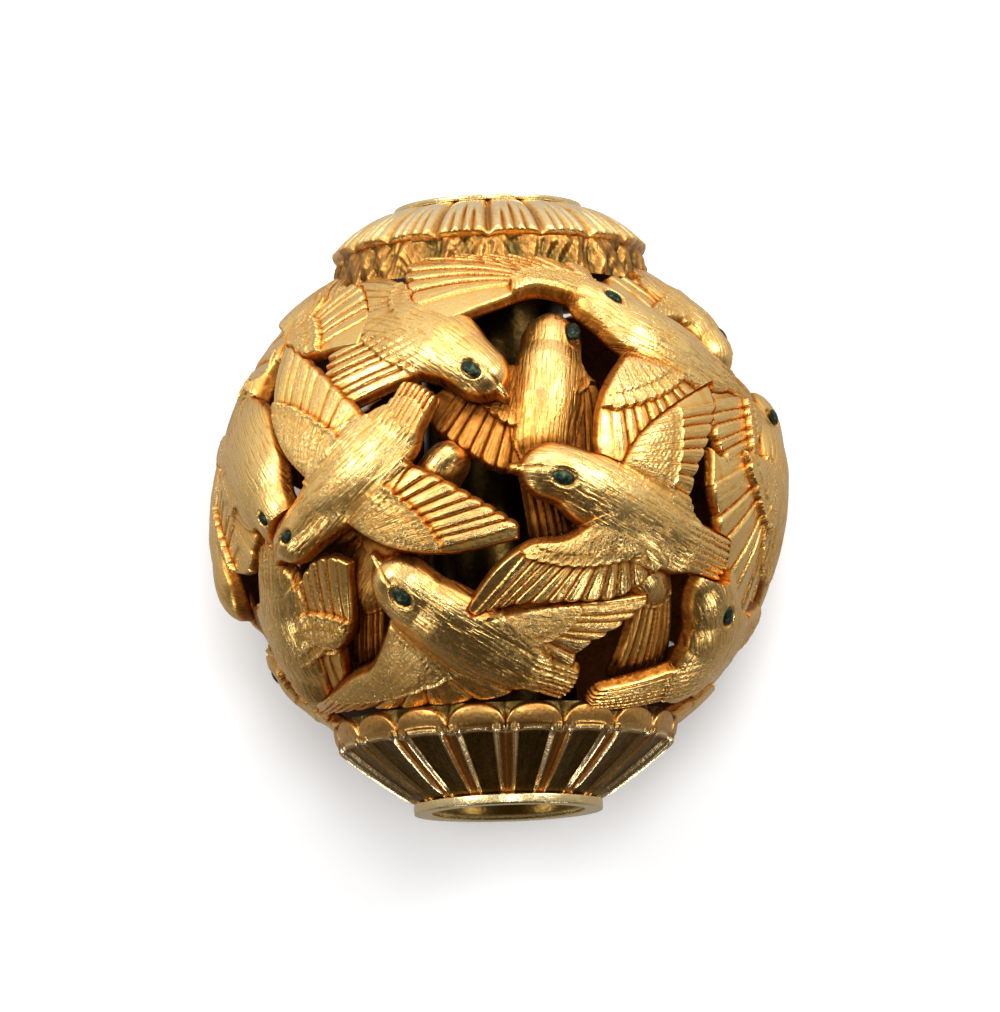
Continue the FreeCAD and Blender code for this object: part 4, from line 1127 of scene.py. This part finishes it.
class Value:
    """A node socket that adds Math nodes when it is used in Python arithmetic."""

    def __init__(self, graph, socket):
        self.graph, self.socket = graph, socket

    def math(self, operation, *others, clamp=False):
        node = self.graph.node("ShaderNodeMath", operation=operation, use_clamp=clamp)
        for place, item in zip(node.inputs, (self, *others)):
            self.graph.feed(place, item)
        return Value(self.graph, node.outputs[0])

    def __add__(self, other):
        return self.math("ADD", other)

    def __radd__(self, other):
        return self.math("ADD", other)

    def __sub__(self, other):
        return self.math("SUBTRACT", other)

    def __rsub__(self, other):
        return (self * -1) + other

    def __mul__(self, other):
        return self.math("MULTIPLY", other)

    def __rmul__(self, other):
        return self.math("MULTIPLY", other)

    def __truediv__(self, other):
        return self.math("DIVIDE", other)

    def __pow__(self, other):
        return self.math("POWER", other)

    def clamped(self):
        return self.math("ADD", 0.0, clamp=True)


class Graph:
    """The node tree of a material or of the world, with one method for every kind of node."""

    def __init__(self, owner):
        self.owner = owner
        owner.use_nodes = True
        self.tree = owner.node_tree
        self.tree.nodes.clear()

    def feed(self, socket, item):
        if isinstance(item, Value):
            self.tree.links.new(item.socket, socket)
        else:
            socket.default_value = item

    def node(self, kind, inputs=None, **settings):
        node = self.tree.nodes.new(kind)
        for key, item in settings.items():
            setattr(node, key, item)
        for key, item in (inputs or {}).items():
            self.feed(node.inputs[key], item)
        return node

    def value(self, kind, output, inputs=None, **settings):
        return Value(self, self.node(kind, inputs, **settings).outputs[output])

    def split(self, vector):
        """The three numbers of a vector."""
        return [Value(self, socket) for socket in self.node("ShaderNodeSeparateXYZ", {"Vector": vector}).outputs]

    def noise(self, vector, scale, detail, roughness=0.5):
        return self.value("ShaderNodeTexNoise", "Fac",
                          {"Vector": vector, "Scale": scale, "Detail": detail, "Roughness": roughness})

    def ramp(self, factor, stops):
        node = self.node("ShaderNodeValToRGB", {"Fac": factor})
        ramp = node.color_ramp
        while len(ramp.elements) < len(stops):
            ramp.elements.new(0.5)
        for element, (place, colour) in zip(ramp.elements, stops):
            element.position, element.color = place, (*colour, 1)
        return Value(self, node.outputs["Color"])

    def mixed(self, factor, first, second):
        """One shader where the factor is 0 and another where it is 1."""
        return self.value("ShaderNodeMixShader", 0, {0: factor, 1: first, 2: second})

    def finish(self, shader, output="ShaderNodeOutputMaterial"):
        self.node(output, {"Surface": shader})
        return self.owner


class Gold:
    """Patterns on the gold: tool strokes, clouds and grain. The stops are shares of the darkening from patina and
    painted light.
    """
    stops = (0.0, 0.16, 0.42, 0.72, 1.0)
    darkening_span = 0.5
    hair_length, hair_roughness = 1.5, 0.55
    coarse_length, coarse_width, coarse_shift = 0.8, 0.4, 3.0
    cloud_scale, cloud_roughness, cloud_weight = 420.0, 0.6, 0.55
    grain_scale, grain_weight, grain_roughening, grain_bump = 9000.0, 0.5, 0.10, 0.22
    line_level, line_contrast = 0.47, 8
    hair_bump, coarse_bump, line_bump = 0.5, 0.4, 0.5


def gold_material(name, look, kind):
    """Gold that is bright where it is rubbed and brown where patina and painted shade darken it."""
    graph = Graph(bpy.data.materials.new(name))
    place = graph.value("ShaderNodeTexCoord", "Object")
    patina = graph.value("ShaderNodeAttribute", "Fac", attribute_name="patina")
    flow = graph.value("ShaderNodeAttribute", "Vector", attribute_name="stroke_flow")
    along, across, strength = graph.split(flow)
    fine = {"X": along * Gold.hair_length, "Y": across * look.stroke_fineness, "Z": 0.0}
    wide = {"X": along * Gold.coarse_length, "Y": across * look.stroke_fineness * Gold.coarse_width,
            "Z": Gold.coarse_shift}
    hair = graph.noise(graph.value("ShaderNodeCombineXYZ", "Vector", fine), 1.0, 2.0, Gold.hair_roughness)
    coarse = graph.noise(graph.value("ShaderNodeCombineXYZ", "Vector", wide), 1.0, 1.0)
    cloud = graph.noise(place, Gold.cloud_scale, 4.0, Gold.cloud_roughness)
    grain = graph.noise(place, Gold.grain_scale, 2.0)
    lines = ((Gold.line_level - hair) * Gold.line_contrast).clamped() * strength
    darkening = patina + (cloud - 0.5) * Gold.cloud_weight + lines * look.line_colour
    darkening = darkening + (grain - 0.5) * Gold.grain_weight + look.warmth
    tones = [getattr(look, kind + tone) for tone in ("_rubbed", "_plain", "_recess", "_depths")]
    # The ramp paints shade as well as patina: the recess, depths and soot tones fall on recesses, deeper birds, walls,
    # undersides, collar cuts and the bore
    colour = graph.ramp(darkening * Gold.darkening_span, list(zip(Gold.stops, (*tones, look.soot_and_shade))))
    rough = look.roughness + darkening.clamped() * getattr(look, kind + "_dulling")
    rough = rough + (grain - 0.5) * Gold.grain_roughening
    strokes = getattr(look, kind + "_strokes")
    carved = (hair * Gold.hair_bump + coarse * Gold.coarse_bump - lines * Gold.line_bump) * strength * strokes
    carved = carved + grain * Gold.grain_bump
    bump = graph.value("ShaderNodeBump", "Normal", {"Height": carved, "Strength": 1.0,
                                                    "Distance": look.stroke_depth * MM})
    return graph.finish(graph.value("ShaderNodeBsdfPrincipled", "BSDF", {
        "Base Color": colour, "Roughness": rough.clamped(), "Normal": bump, "Metallic": 1.0}))


def eye_material(name, look):
    """Dark patinated metal with lighter flecks."""
    graph = Graph(bpy.data.materials.new(name))
    fleck = graph.noise(graph.value("ShaderNodeTexCoord", "Object"), look.fleck_scale, 3.0, 0.7)
    colour = graph.ramp(fleck, [(0.3, look.eye_dark), (0.52, look.eye_plain), (0.68, look.eye_fleck)])
    return graph.finish(graph.value("ShaderNodeBsdfPrincipled", "BSDF", {
        "Base Color": colour, "Roughness": fleck * 0.25 + 0.28, "Metallic": 0.6, "Specular IOR Level": 0.15}))


class Paper:
    """How the floor's glow and its painted shadow go from the bead outwards, in shares of the reach."""
    reach = 0.15
    glow = ((0.035, 0.06), (0.06, 0.40), (0.1, 0.52), (1.0, 1.0))
    shade_stops = (0.035, 0.056)
    roughness = 0.9


def floor_material(name, look):
    """White paper with a painted shadow under the bead, in its colour and in its glow, which grows further from the
    bead; to the metal it shows a painted reflection, dark on the lower side and light on the upper.
    """
    graph = Graph(bpy.data.materials.new(name))
    x, y, _ = graph.split(graph.value("ShaderNodeTexCoord", "Object"))
    upward = (y * look.floor_turn + 0.5).clamped()
    away = ((x ** 2 + y ** 2) ** 0.5 / Paper.reach).clamped()
    paper = graph.value("ShaderNodeBsdfPrincipled", "BSDF", {
        # Painted shadow: the paper's colour is darker under the bead
        "Base Color": graph.ramp(away, list(zip(Paper.shade_stops, (look.paper_shaded, look.paper)))),
        "Roughness": Paper.roughness,
        # Painted shadow: the floor glows, and less near the bead
        "Emission Color": graph.ramp(away, [(stop, (grey,) * 3) for stop, grey in Paper.glow]),
        "Emission Strength": look.floor_glow})
    # Painted reflection: glossy rays see the floor dark on the lower side and light on the upper
    mirrored = graph.value("ShaderNodeEmission", "Emission", {
        "Color": graph.ramp(upward, [(0.0, look.room_dark), (1.0, look.mirrored_light)])})
    return graph.finish(graph.mixed(graph.value("ShaderNodeLightPath", "Is Glossy Ray"), paper, mirrored))


def set_world(look):
    """White to the camera; to the metal a room that is light on the upper side and dark on the lower."""
    graph = Graph(bpy.data.worlds.new("studio"))
    bpy.context.scene.world = graph.owner
    upward = graph.split(graph.value("ShaderNodeTexCoord", "Generated"))[1]
    lit = graph.ramp(upward.math("MULTIPLY_ADD", 0.5, 0.5, clamp=True), [(0.34, look.room_dark), (0.95, (1, 1, 1))])
    room = graph.value("ShaderNodeBackground", "Background", {"Color": lit, "Strength": look.room_strength})
    white = graph.value("ShaderNodeBackground", "Background", {"Color": (1, 1, 1, 1)})
    seen = graph.value("ShaderNodeLightPath", "Is Camera Ray")
    graph.finish(graph.mixed(seen, room, white), "ShaderNodeOutputWorld")


# Each soft light, aimed at the bead, with its place, width, height and power
SOFTBOXES = (("left box", (-0.26, 0.12, 0.26), 0.12, 0.20, 0.50),
             ("right box", (0.27, 0.16, 0.26), 0.12, 0.20, 0.66),
             ("low left strip", (-0.20, -0.20, 0.07), 0.03, 0.12, 0.085),
             ("low right strip", (0.20, -0.20, 0.07), 0.03, 0.12, 0.10),
             ("top box", (0.0, 0.34, 0.22), 0.36, 0.16, 0.46),
             ("over box", (0.03, 0.05, 0.45), 0.07, 0.07, 0.31))


def softbox(name, place, width, height, watts):
    light = bpy.data.lights.new(name, "AREA")
    light.shape, light.size, light.size_y, light.energy = "RECTANGLE", width, height, watts
    item = bpy.data.objects.new(name, light)
    item.location = place
    item.rotation_euler = (Vector((0, 0, 0)) - Vector(place)).to_track_quat("-Z", "Y").to_euler()
    bpy.context.collection.objects.link(item)


class Camera:
    """The camera's sensor in millimetres, its shift in pixels and its clipping range in metres."""
    sensor = 36
    shift = (2, 1)
    clip = (0.01, 10)


def set_camera(context, look):
    """A camera over the bead, rolled as the picture is."""
    away = Vector((0, -math.cos(VIEW_ELEVATION), math.sin(VIEW_ELEVATION)))
    up = Vector((0, math.sin(VIEW_ELEVATION), math.cos(VIEW_ELEVATION)))
    right = Vector((1, 0, 0))
    rolled_up = up * math.cos(VIEW_ROLL) + right * math.sin(VIEW_ROLL)
    rolled_right = right * math.cos(VIEW_ROLL) - up * math.sin(VIEW_ROLL)
    camera = bpy.data.cameras.new("camera")
    camera.sensor_fit, camera.sensor_width = "HORIZONTAL", Camera.sensor
    camera.lens = Camera.sensor * look.camera_distance / look.frame_width
    camera.shift_x, camera.shift_y = (shift / IMAGE_WIDTH for shift in Camera.shift)
    camera.clip_start, camera.clip_end = Camera.clip
    item = bpy.data.objects.new("camera", camera)
    turn = Matrix((rolled_right, rolled_up, away)).transposed().to_4x4()
    item.matrix_world = Matrix.Translation(away * look.camera_distance) @ turn
    context.collection.objects.link(item)
    context.scene.camera = item


def number(name, description, default, unit="NONE"):
    return FloatProperty(name=name, description=description, default=default, unit=unit, precision=4)


def colour(name, description, default):
    return FloatVectorProperty(name=name, description=description, default=default, size=3, subtype="COLOR")


class FlockSettings(bpy.types.PropertyGroup):
    """Sizes are in millimetres, as on the drawing."""
    ball_radius: number("Ball radius", "Radius of the ball of birds, mm", 8.0)
    relief_depth: number("Relief depth", "From the ball's surface to the floor of the outermost birds, mm", 0.7)
    level_step: number("Level step", "How much deeper each level lies, mm", 0.45)
    body_relief: number("Body relief", "Height of a body above its floor, mm", 0.7)
    rise_per_level: number("Rise per level", "Extra body height on each deeper level, mm", 0.12)
    body_base: number("Body base", "Height of a body's edge above its floor, mm", 0.30)
    body_blend: number("Body blend", "Softness of the valley between body and wing, mm", 0.34)
    body_roundness: number("Body roundness", "How slowly a body's sides rise to its crest", 0.85)
    body_width: number("Body width", "How much wider than the drawn spine a body is carved", 1.06)
    sheet_height: number("Sheet height", "Height of wings above the floor, used to place what is read, mm", 0.5)
    tip_notch: number("Tip notch", "How far the cut between two feather tips goes in, as a share of the feather", 0.05)
    tip_bulge: number("Tip bulge", "How far a feather's tip is rounded out from the cut, as a share", 0.085)
    beak_line: number("Beak line", "Depth of the line between the halves of the beak, mm", 0.05)
    blade_height: number("Feather height", "Height of the long feathers above the floor, mm", 0.34)
    blade_drop: number("Feather drop", "How much a feather sinks from root to tip, mm", 0.07)
    feather_step: number("Feather step", "Step between neighbouring feathers, mm", 0.065)
    feather_crown: number("Feather crown", "Roundness of a feather across its width, mm", 0.012)
    feather_groove: number("Feather groove", "Depth of the cut line between feathers, mm", 0.05)
    feather_shaft: number("Feather shaft", "Height of a feather's shaft, mm", 0.008)
    arm_height: number("Arm height", "Height of the covert side of a wing, mm", 0.47)
    arm_drop: number("Arm drop", "How much a wing's front edge is rounded down, mm", 0.17)
    arm_round: number("Arm rounding", "Width of the rounding at a wing's front edge, mm", 0.45)
    covert_share: number("Covert share", "Share of a wing's root that the coverts take", 0.62)
    wrist_share: number("Wrist share", "Where on the front edge the coverts end", 0.52)
    tail_sink: number("Tail sink", "How much a tail sinks where it starts under the body, mm", 0.30)
    root_sink: number("Root sink", "How much a wing sinks where it ends inside its body, mm", 0.22)
    covert_lip: number("Covert lip", "Height of the raised edge of the coverts, mm", 0.03)
    tail_ridge: number("Tail ridge", "Height of a tail's middle above its sides, mm", 0.07)
    tail_under_body: number("Tail under body", "How far a tail reaches under its body, as a share", 0.45)
    tail_feathers: IntProperty(name="Tail feathers", description="Feathers in a tail", default=7)
    eye_long: number("Eye length", "Length of an eye as a share of its size", 1.08)
    eye_short: number("Eye width", "Width of an eye as a share of its size", 0.70)
    eye_height: number("Eye height", "Height of an eye's dome as a share of its size", 0.42)
    eye_sunk: number("Eye depth", "Share of the dome that is below its rim", 0.60)
    eye_cut: number("Eye cut", "Depth of the line round an eye, mm", 0.05)
    eye_lid: number("Eye lid", "Height of the lid round an eye, mm", 0.012)
    slope_out: number("Slope outside", "How far the sloping cut reaches outside a bird's outline, mm", 0.09)
    slope_in: number("Slope inside", "How far the sloping cut reaches inside a bird's outline, mm", 0.06)
    slope_foot: number("Slope foot", "Height at the foot of the sloping cut as a share of the full height", 0.2)
    thinnest: number("Thinnest", "Least thickness that is left, mm", 0.10)
    overlap: number("Overlap", "How far a lower bird reaches under an upper one before it gives way, mm", 0.05)
    grid_step: number("Grid step", "Spacing of the carved points, mm", 0.04)
    floor_block: IntProperty(name="Floor block", description="Grid cells along a face of the underside", default=12)
    upper_seat: number("Upper seat", "Where the birds end at the upper collar, mm", 6.9)
    lower_seat: number("Lower seat", "Where the birds end at the lower collar, mm", 6.45)


class TurnedSettings(bpy.types.PropertyGroup):
    """Sizes of the collars, eyelets and tube in millimetres."""
    petals: IntProperty(name="Petals", description="Petals on a collar", default=18)
    upper_seat: number("Upper seat", "Height of the upper collar's underside, mm", 5.8)
    lower_seat: number("Lower seat", "Height of the lower collar's underside, mm", 5.8)
    upper_rim_height: number("Upper rim height", "Height of the upper petals' outer ends, mm", 7.0)
    lower_rim_height: number("Lower rim height", "Height of the lower petals' outer ends, mm", 6.52)
    rim_lip: number("Rim lip", "How far the upper petals stand out over the skirt, mm", 0.1)
    upper_flare: number("Upper flare", "How much the upper skirt widens to its seat, mm", 0.22)
    upper_rim: number("Upper rim", "Radius of the upper petals, mm", 4.25)
    lower_rim: number("Lower rim", "Radius of the lower petals, mm", 4.5)
    neck_radius: number("Neck radius", "Radius where the petals meet the eyelet, mm", 2.45)
    neck_height: number("Neck height", "Height where the petals meet the eyelet, mm", 8.05)
    upper_bulge: number("Upper bulge", "Roundness of the upper collar, mm", 0.15)
    lower_bulge: number("Lower bulge", "Roundness of the lower collar, mm", 0.04)
    tip_round: number("Tip rounding", "Roundness of a petal's tip, mm", 0.16)
    dart_depth: number("Dart depth", "Depth of the three tapered cuts in an upper petal, mm", 0.11)
    arch_inset: number("Arch inset", "How far the wall stands back between the petals, mm", 0.12)
    bore_radius: number("Bore radius", "Radius of the cord bore, mm", 1.65)
    tube_wall: number("Tube wall", "Wall of the cord tube, mm", 0.3)
    tube_half: number("Tube half length", "Half the length of the cord tube, mm", 7.7)
    sleeve_radius: number("Sleeve radius", "Radius of the eyelets' sleeves, mm", 2.25)
    flange_radius: number("Flange radius", "Radius of the eyelets' flanges, mm", 2.55)
    mouth_radius: number("Mouth radius", "Radius of the bore's mouths, mm", 2.1)
    upper_flange: number("Upper flange", "Height of the upper flange, mm", 0.15)
    lower_flange: number("Lower flange", "Height of the lower flange, mm", 0.28)


class LookSettings(bpy.types.PropertyGroup):
    """Colours, surfaces and light."""
    roughness: number("Roughness", "Roughness of rubbed gold", 0.26)
    stroke_fineness: number("Stroke fineness", "Tool strokes for each millimetre", 14.0)
    stroke_depth: number("Stroke depth", "Depth of the tool strokes, mm", 0.042)
    line_colour: number("Line colour", "How much colour lies in the tool strokes", 0.65)
    # The floor glows; near the bead its glow is held back as a painted shadow
    floor_glow: number("Floor glow", "How much the floor lightens its own shadows", 1.0)
    warmth: number("Warmth", "Colour that lies on all of the gold", 0.06)
    # Painted reflection of the floor in the metal, from dark to light
    floor_turn: number("Floor turn", "How quickly the mirrored floor goes from dark to light", 14.0)
    room_strength: number("Room strength", "Light of the room on the metal", 0.95)
    camera_distance: number("Camera distance", "From the camera to the middle of the ball", 0.248, "LENGTH")
    frame_width: number("Frame width", "Width of the picture at the bead", 0.02712, "LENGTH")
    # Flock recess and depths tones carry patina and painted shade: recesses, deeper birds, walls and undersides
    flock_rubbed: colour("Flock rubbed", "Birds where they are rubbed", (1.0, 0.68, 0.26))
    flock_plain: colour("Flock plain", "Birds where a little colour has settled", (0.97, 0.54, 0.13))
    flock_recess: colour("Flock recess", "Birds in their recesses", (0.68, 0.26, 0.040))
    flock_depths: colour("Flock depths", "Birds between and under others", (0.26, 0.075, 0.010))
    flock_strokes: number("Flock strokes", "Strength of the tool strokes on the birds", 1.0)
    flock_dulling: number("Flock dulling", "How much settled colour roughens the birds", 0.22)
    # Collar recess and depths tones carry patina and painted shade in cuts, dishes and under the rim; collar rubbed is
    # also the painted highlight on the lower outlines
    collar_rubbed: colour("Collar rubbed", "Collars where they are rubbed", (1.0, 0.80, 0.47))
    collar_plain: colour("Collar plain", "Collars where a little colour has settled", (0.94, 0.60, 0.20))
    collar_recess: colour("Collar recess", "Collars in their cuts", (0.60, 0.27, 0.060))
    collar_depths: colour("Collar depths", "Collars in their deepest cuts", (0.13, 0.085, 0.022))
    collar_strokes: number("Collar strokes", "Strength of the tool strokes on the collars", 0.4)
    collar_dulling: number("Collar dulling", "How much settled colour roughens the collars", 0.12)
    # Liner recess and depths tones are painted shade in the bore and on the tube's outside
    liner_rubbed: colour("Liner rubbed", "Eyelets and tube where they are rubbed", (0.98, 0.78, 0.40))
    liner_plain: colour("Liner plain", "Eyelets and tube with a little colour", (0.92, 0.66, 0.27))
    liner_recess: colour("Liner recess", "The bore's wall", (0.50, 0.30, 0.07))
    liner_depths: colour("Liner depths", "The tube's outside", (0.14, 0.085, 0.02))
    liner_strokes: number("Liner strokes", "Strength of the tool strokes in the bore", 0.3)
    liner_dulling: number("Liner dulling", "How much settled colour roughens the bore", 0.05)
    # The darkest tone, soot and painted shade, on undersides and the deepest places
    soot_and_shade: colour("Soot", "Colour where most has settled", (0.02, 0.008, 0.003))
    eye_dark: colour("Eye dark", "Darkest colour of the eyes", (0.006, 0.011, 0.007))
    eye_plain: colour("Eye plain", "Main colour of the eyes", (0.020, 0.034, 0.022))
    eye_fleck: colour("Eye fleck", "Flecks in the eyes", (0.12, 0.16, 0.10))
    fleck_scale: number("Fleck scale", "Fineness of the flecks in the eyes", 7000.0)
    paper: colour("Paper", "The floor away from the bead", (0.845, 0.865, 0.89))
    # Painted shadow on the paper under the bead
    paper_shaded: colour("Shaded paper", "The floor under the bead", (0.20, 0.18, 0.16))
    # These two colour the floor's painted reflection in the metal; room dark also colours the room the metal sees
    room_dark: colour("Room dark", "What the lower side of the metal mirrors", (0.05, 0.035, 0.02))
    mirrored_light: colour("Mirrored light", "What the upper side mirrors of the floor", (0.80, 0.78, 0.75))


def finished(piece, node, material):
    """Gives a piece its material and its place in the frame."""
    piece.data.materials.clear()
    piece.data.materials.append(material)
    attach(piece, "root")
    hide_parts(node)


def painted_shade_inside(piece, limit, outside, inside):
    """Painted shade on a turned piece, other within a radius than outside it."""
    flat = np.empty(len(piece.data.vertices) * 3)
    piece.data.vertices.foreach_get("co", flat)
    store(piece.data, "patina", np.where(np.hypot(flat[0::3], flat[2::3]) > limit * MM, outside, inside))


def material_named(name):
    material = bpy.data.materials.get(name)
    if material is None:
        raise RuntimeError("the materials come first: " + name)
    return material


class BEAD_OT_materials(bpy.types.Operator):
    """Make the golds and the eyes' dark metal"""
    bl_idname = "bead.materials"
    bl_label = "Make the bead's materials"

    def execute(self, context):
        look = context.scene.bead_look
        for kind in ("flock", "collar", "liner"):
            gold_material(kind + " gold", look, kind)
        eye_material("eye metal", look)
        floor_material("white paper", look)
        return {"FINISHED"}


class BEAD_OT_flock(bpy.types.Operator):
    """Carve every bird and set its eye"""
    bl_idname = "bead.flock"
    bl_label = "Carve the flock"

    def execute(self, context):
        cut = context.scene.bead_flock
        gold, dark = material_named("flock gold"), material_named("eye metal")
        twin_of = {first: number for number, first in TWIN_OF.items()}
        covers = []
        for first in sorted(SPARROW_SHARES, key=lambda number: (SPARROW_SHARES[number]["level"], number)):
            bird = Bird(SPARROW_SHARES[first], cut)
            bird.fit_under(covers, cut)
            covers += [(bird, 1)]
            sides = [(first, False)]
            if first in twin_of:
                covers += [(bird, -1)]
                sides.append((twin_of[first], True))
            for number, mirror in sides:
                node = "sparrow_" + number
                finished(relief_mesh("carved_" + node, bird, cut, mirror), node, gold)
                if bird.eye:
                    finished(eye_mesh("dome_" + node + "_eye", bird, cut, mirror), node + "_eye", dark)
        return {"FINISHED"}


class BEAD_OT_collar(bpy.types.Operator):
    """Shape one petal collar"""
    bl_idname = "bead.collar"
    bl_label = "Shape a petal collar"
    upper: BoolProperty(name="Upper", description="The collar at the upper end of the bore", default=True)

    def execute(self, context):
        end, side = ("upper", 1) if self.upper else ("lower", -1)
        piece = petal_collar("petalled_%s_collar" % end, context.scene.bead_turned, side)
        finished(piece, end + "_petal_collar", material_named("collar gold"))
        return {"FINISHED"}


class BEAD_OT_liner(bpy.types.Operator):
    """Turn the cord tube and the two eyelets"""
    bl_idname = "bead.liner"
    bl_label = "Turn the bore's lining"

    def execute(self, context):
        cut = context.scene.bead_turned
        gold = material_named("liner gold")
        for end, side in (("upper", 1), ("lower", -1)):
            profile = eyelet_profile(cut, side > 0)
            piece = lathe_piece("turned_%s_eyelet" % end, profile, Turned.eyelet_around, side)
            # Painted shade inside the mouth and down the bore; the flange keeps the rubbed colour
            painted_shade_inside(piece, cut.mouth_radius - Turned.mouth_in, 0.0, Turned.bore_patina)
            finished(piece, end + "_eyelet", gold)
        outer = cut.bore_radius + cut.tube_wall
        corners = [(cut.bore_radius, -cut.tube_half), (outer, -cut.tube_half), (outer, cut.tube_half),
                   (cut.bore_radius, cut.tube_half)]
        profile = softened(corners, Turned.tube_edge_radius, Turned.tube_edge_steps)
        piece = lathe_piece("turned_cord_tube", profile, Turned.tube_around, 1)
        # Painted shade on the tube: its outside darkest, its bore as the eyelets' bore
        painted_shade_inside(piece, outer - Turned.wall_in, Turned.tube_patina, Turned.bore_patina)
        finished(piece, "cord_tube", gold)
        return {"FINISHED"}


class BEAD_OT_stage(bpy.types.Operator):
    """Lay the paper floor and set the lights and the camera"""
    bl_idname = "bead.stage"
    bl_label = "Set the stage"

    def execute(self, context):
        look = context.scene.bead_look
        low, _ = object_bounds()
        bpy.ops.mesh.primitive_plane_add(size=FLOOR_SIZE, location=(0, 0, low[2] - FLOOR_GAP))
        paper = context.object
        paper.name = paper.data.name = "paper"
        paper.data.materials.append(material_named("white paper"))
        paper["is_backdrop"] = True
        set_world(look)
        for light in SOFTBOXES:
            softbox(*light)
        set_camera(context, look)
        context.scene.view_settings.view_transform = "Standard"
        return {"FINISHED"}


class BEAD_PT_panel(bpy.types.Panel):
    """The bead's sizes and its carving steps"""
    bl_idname = "BEAD_PT_panel"
    bl_label = "Openwork bead"
    bl_space_type = "VIEW_3D"
    bl_region_type = "UI"
    bl_category = "Bead"

    def draw(self, context):
        for step in ("bead.materials", "bead.flock", "bead.collar", "bead.liner", "bead.stage"):
            self.layout.operator(step)
        for group in (context.scene.bead_flock, context.scene.bead_turned, context.scene.bead_look):
            box = self.layout.box()
            for name in group.bl_rna.properties.keys():
                if name not in ("rna_type", "name"):
                    box.prop(group, name)


CLASSES = (FlockSettings, TurnedSettings, LookSettings, BEAD_OT_materials, BEAD_OT_flock, BEAD_OT_collar,
           BEAD_OT_liner, BEAD_OT_stage, BEAD_PT_panel)


def register():
    for item in CLASSES:
        bpy.utils.register_class(item)
    bpy.types.Scene.bead_flock = PointerProperty(type=FlockSettings)
    bpy.types.Scene.bead_turned = PointerProperty(type=TurnedSettings)
    bpy.types.Scene.bead_look = PointerProperty(type=LookSettings)


def unregister():
    del bpy.types.Scene.bead_look, bpy.types.Scene.bead_turned, bpy.types.Scene.bead_flock
    for item in reversed(CLASSES):
        bpy.utils.unregister_class(item)


def main():
    register()
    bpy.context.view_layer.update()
    bpy.ops.bead.materials()
    bpy.ops.bead.flock()
    bpy.ops.bead.collar(upper=True)
    bpy.ops.bead.collar(upper=False)
    bpy.ops.bead.liner()
    bpy.ops.bead.stage()


if __name__ == "__main__":
    main()
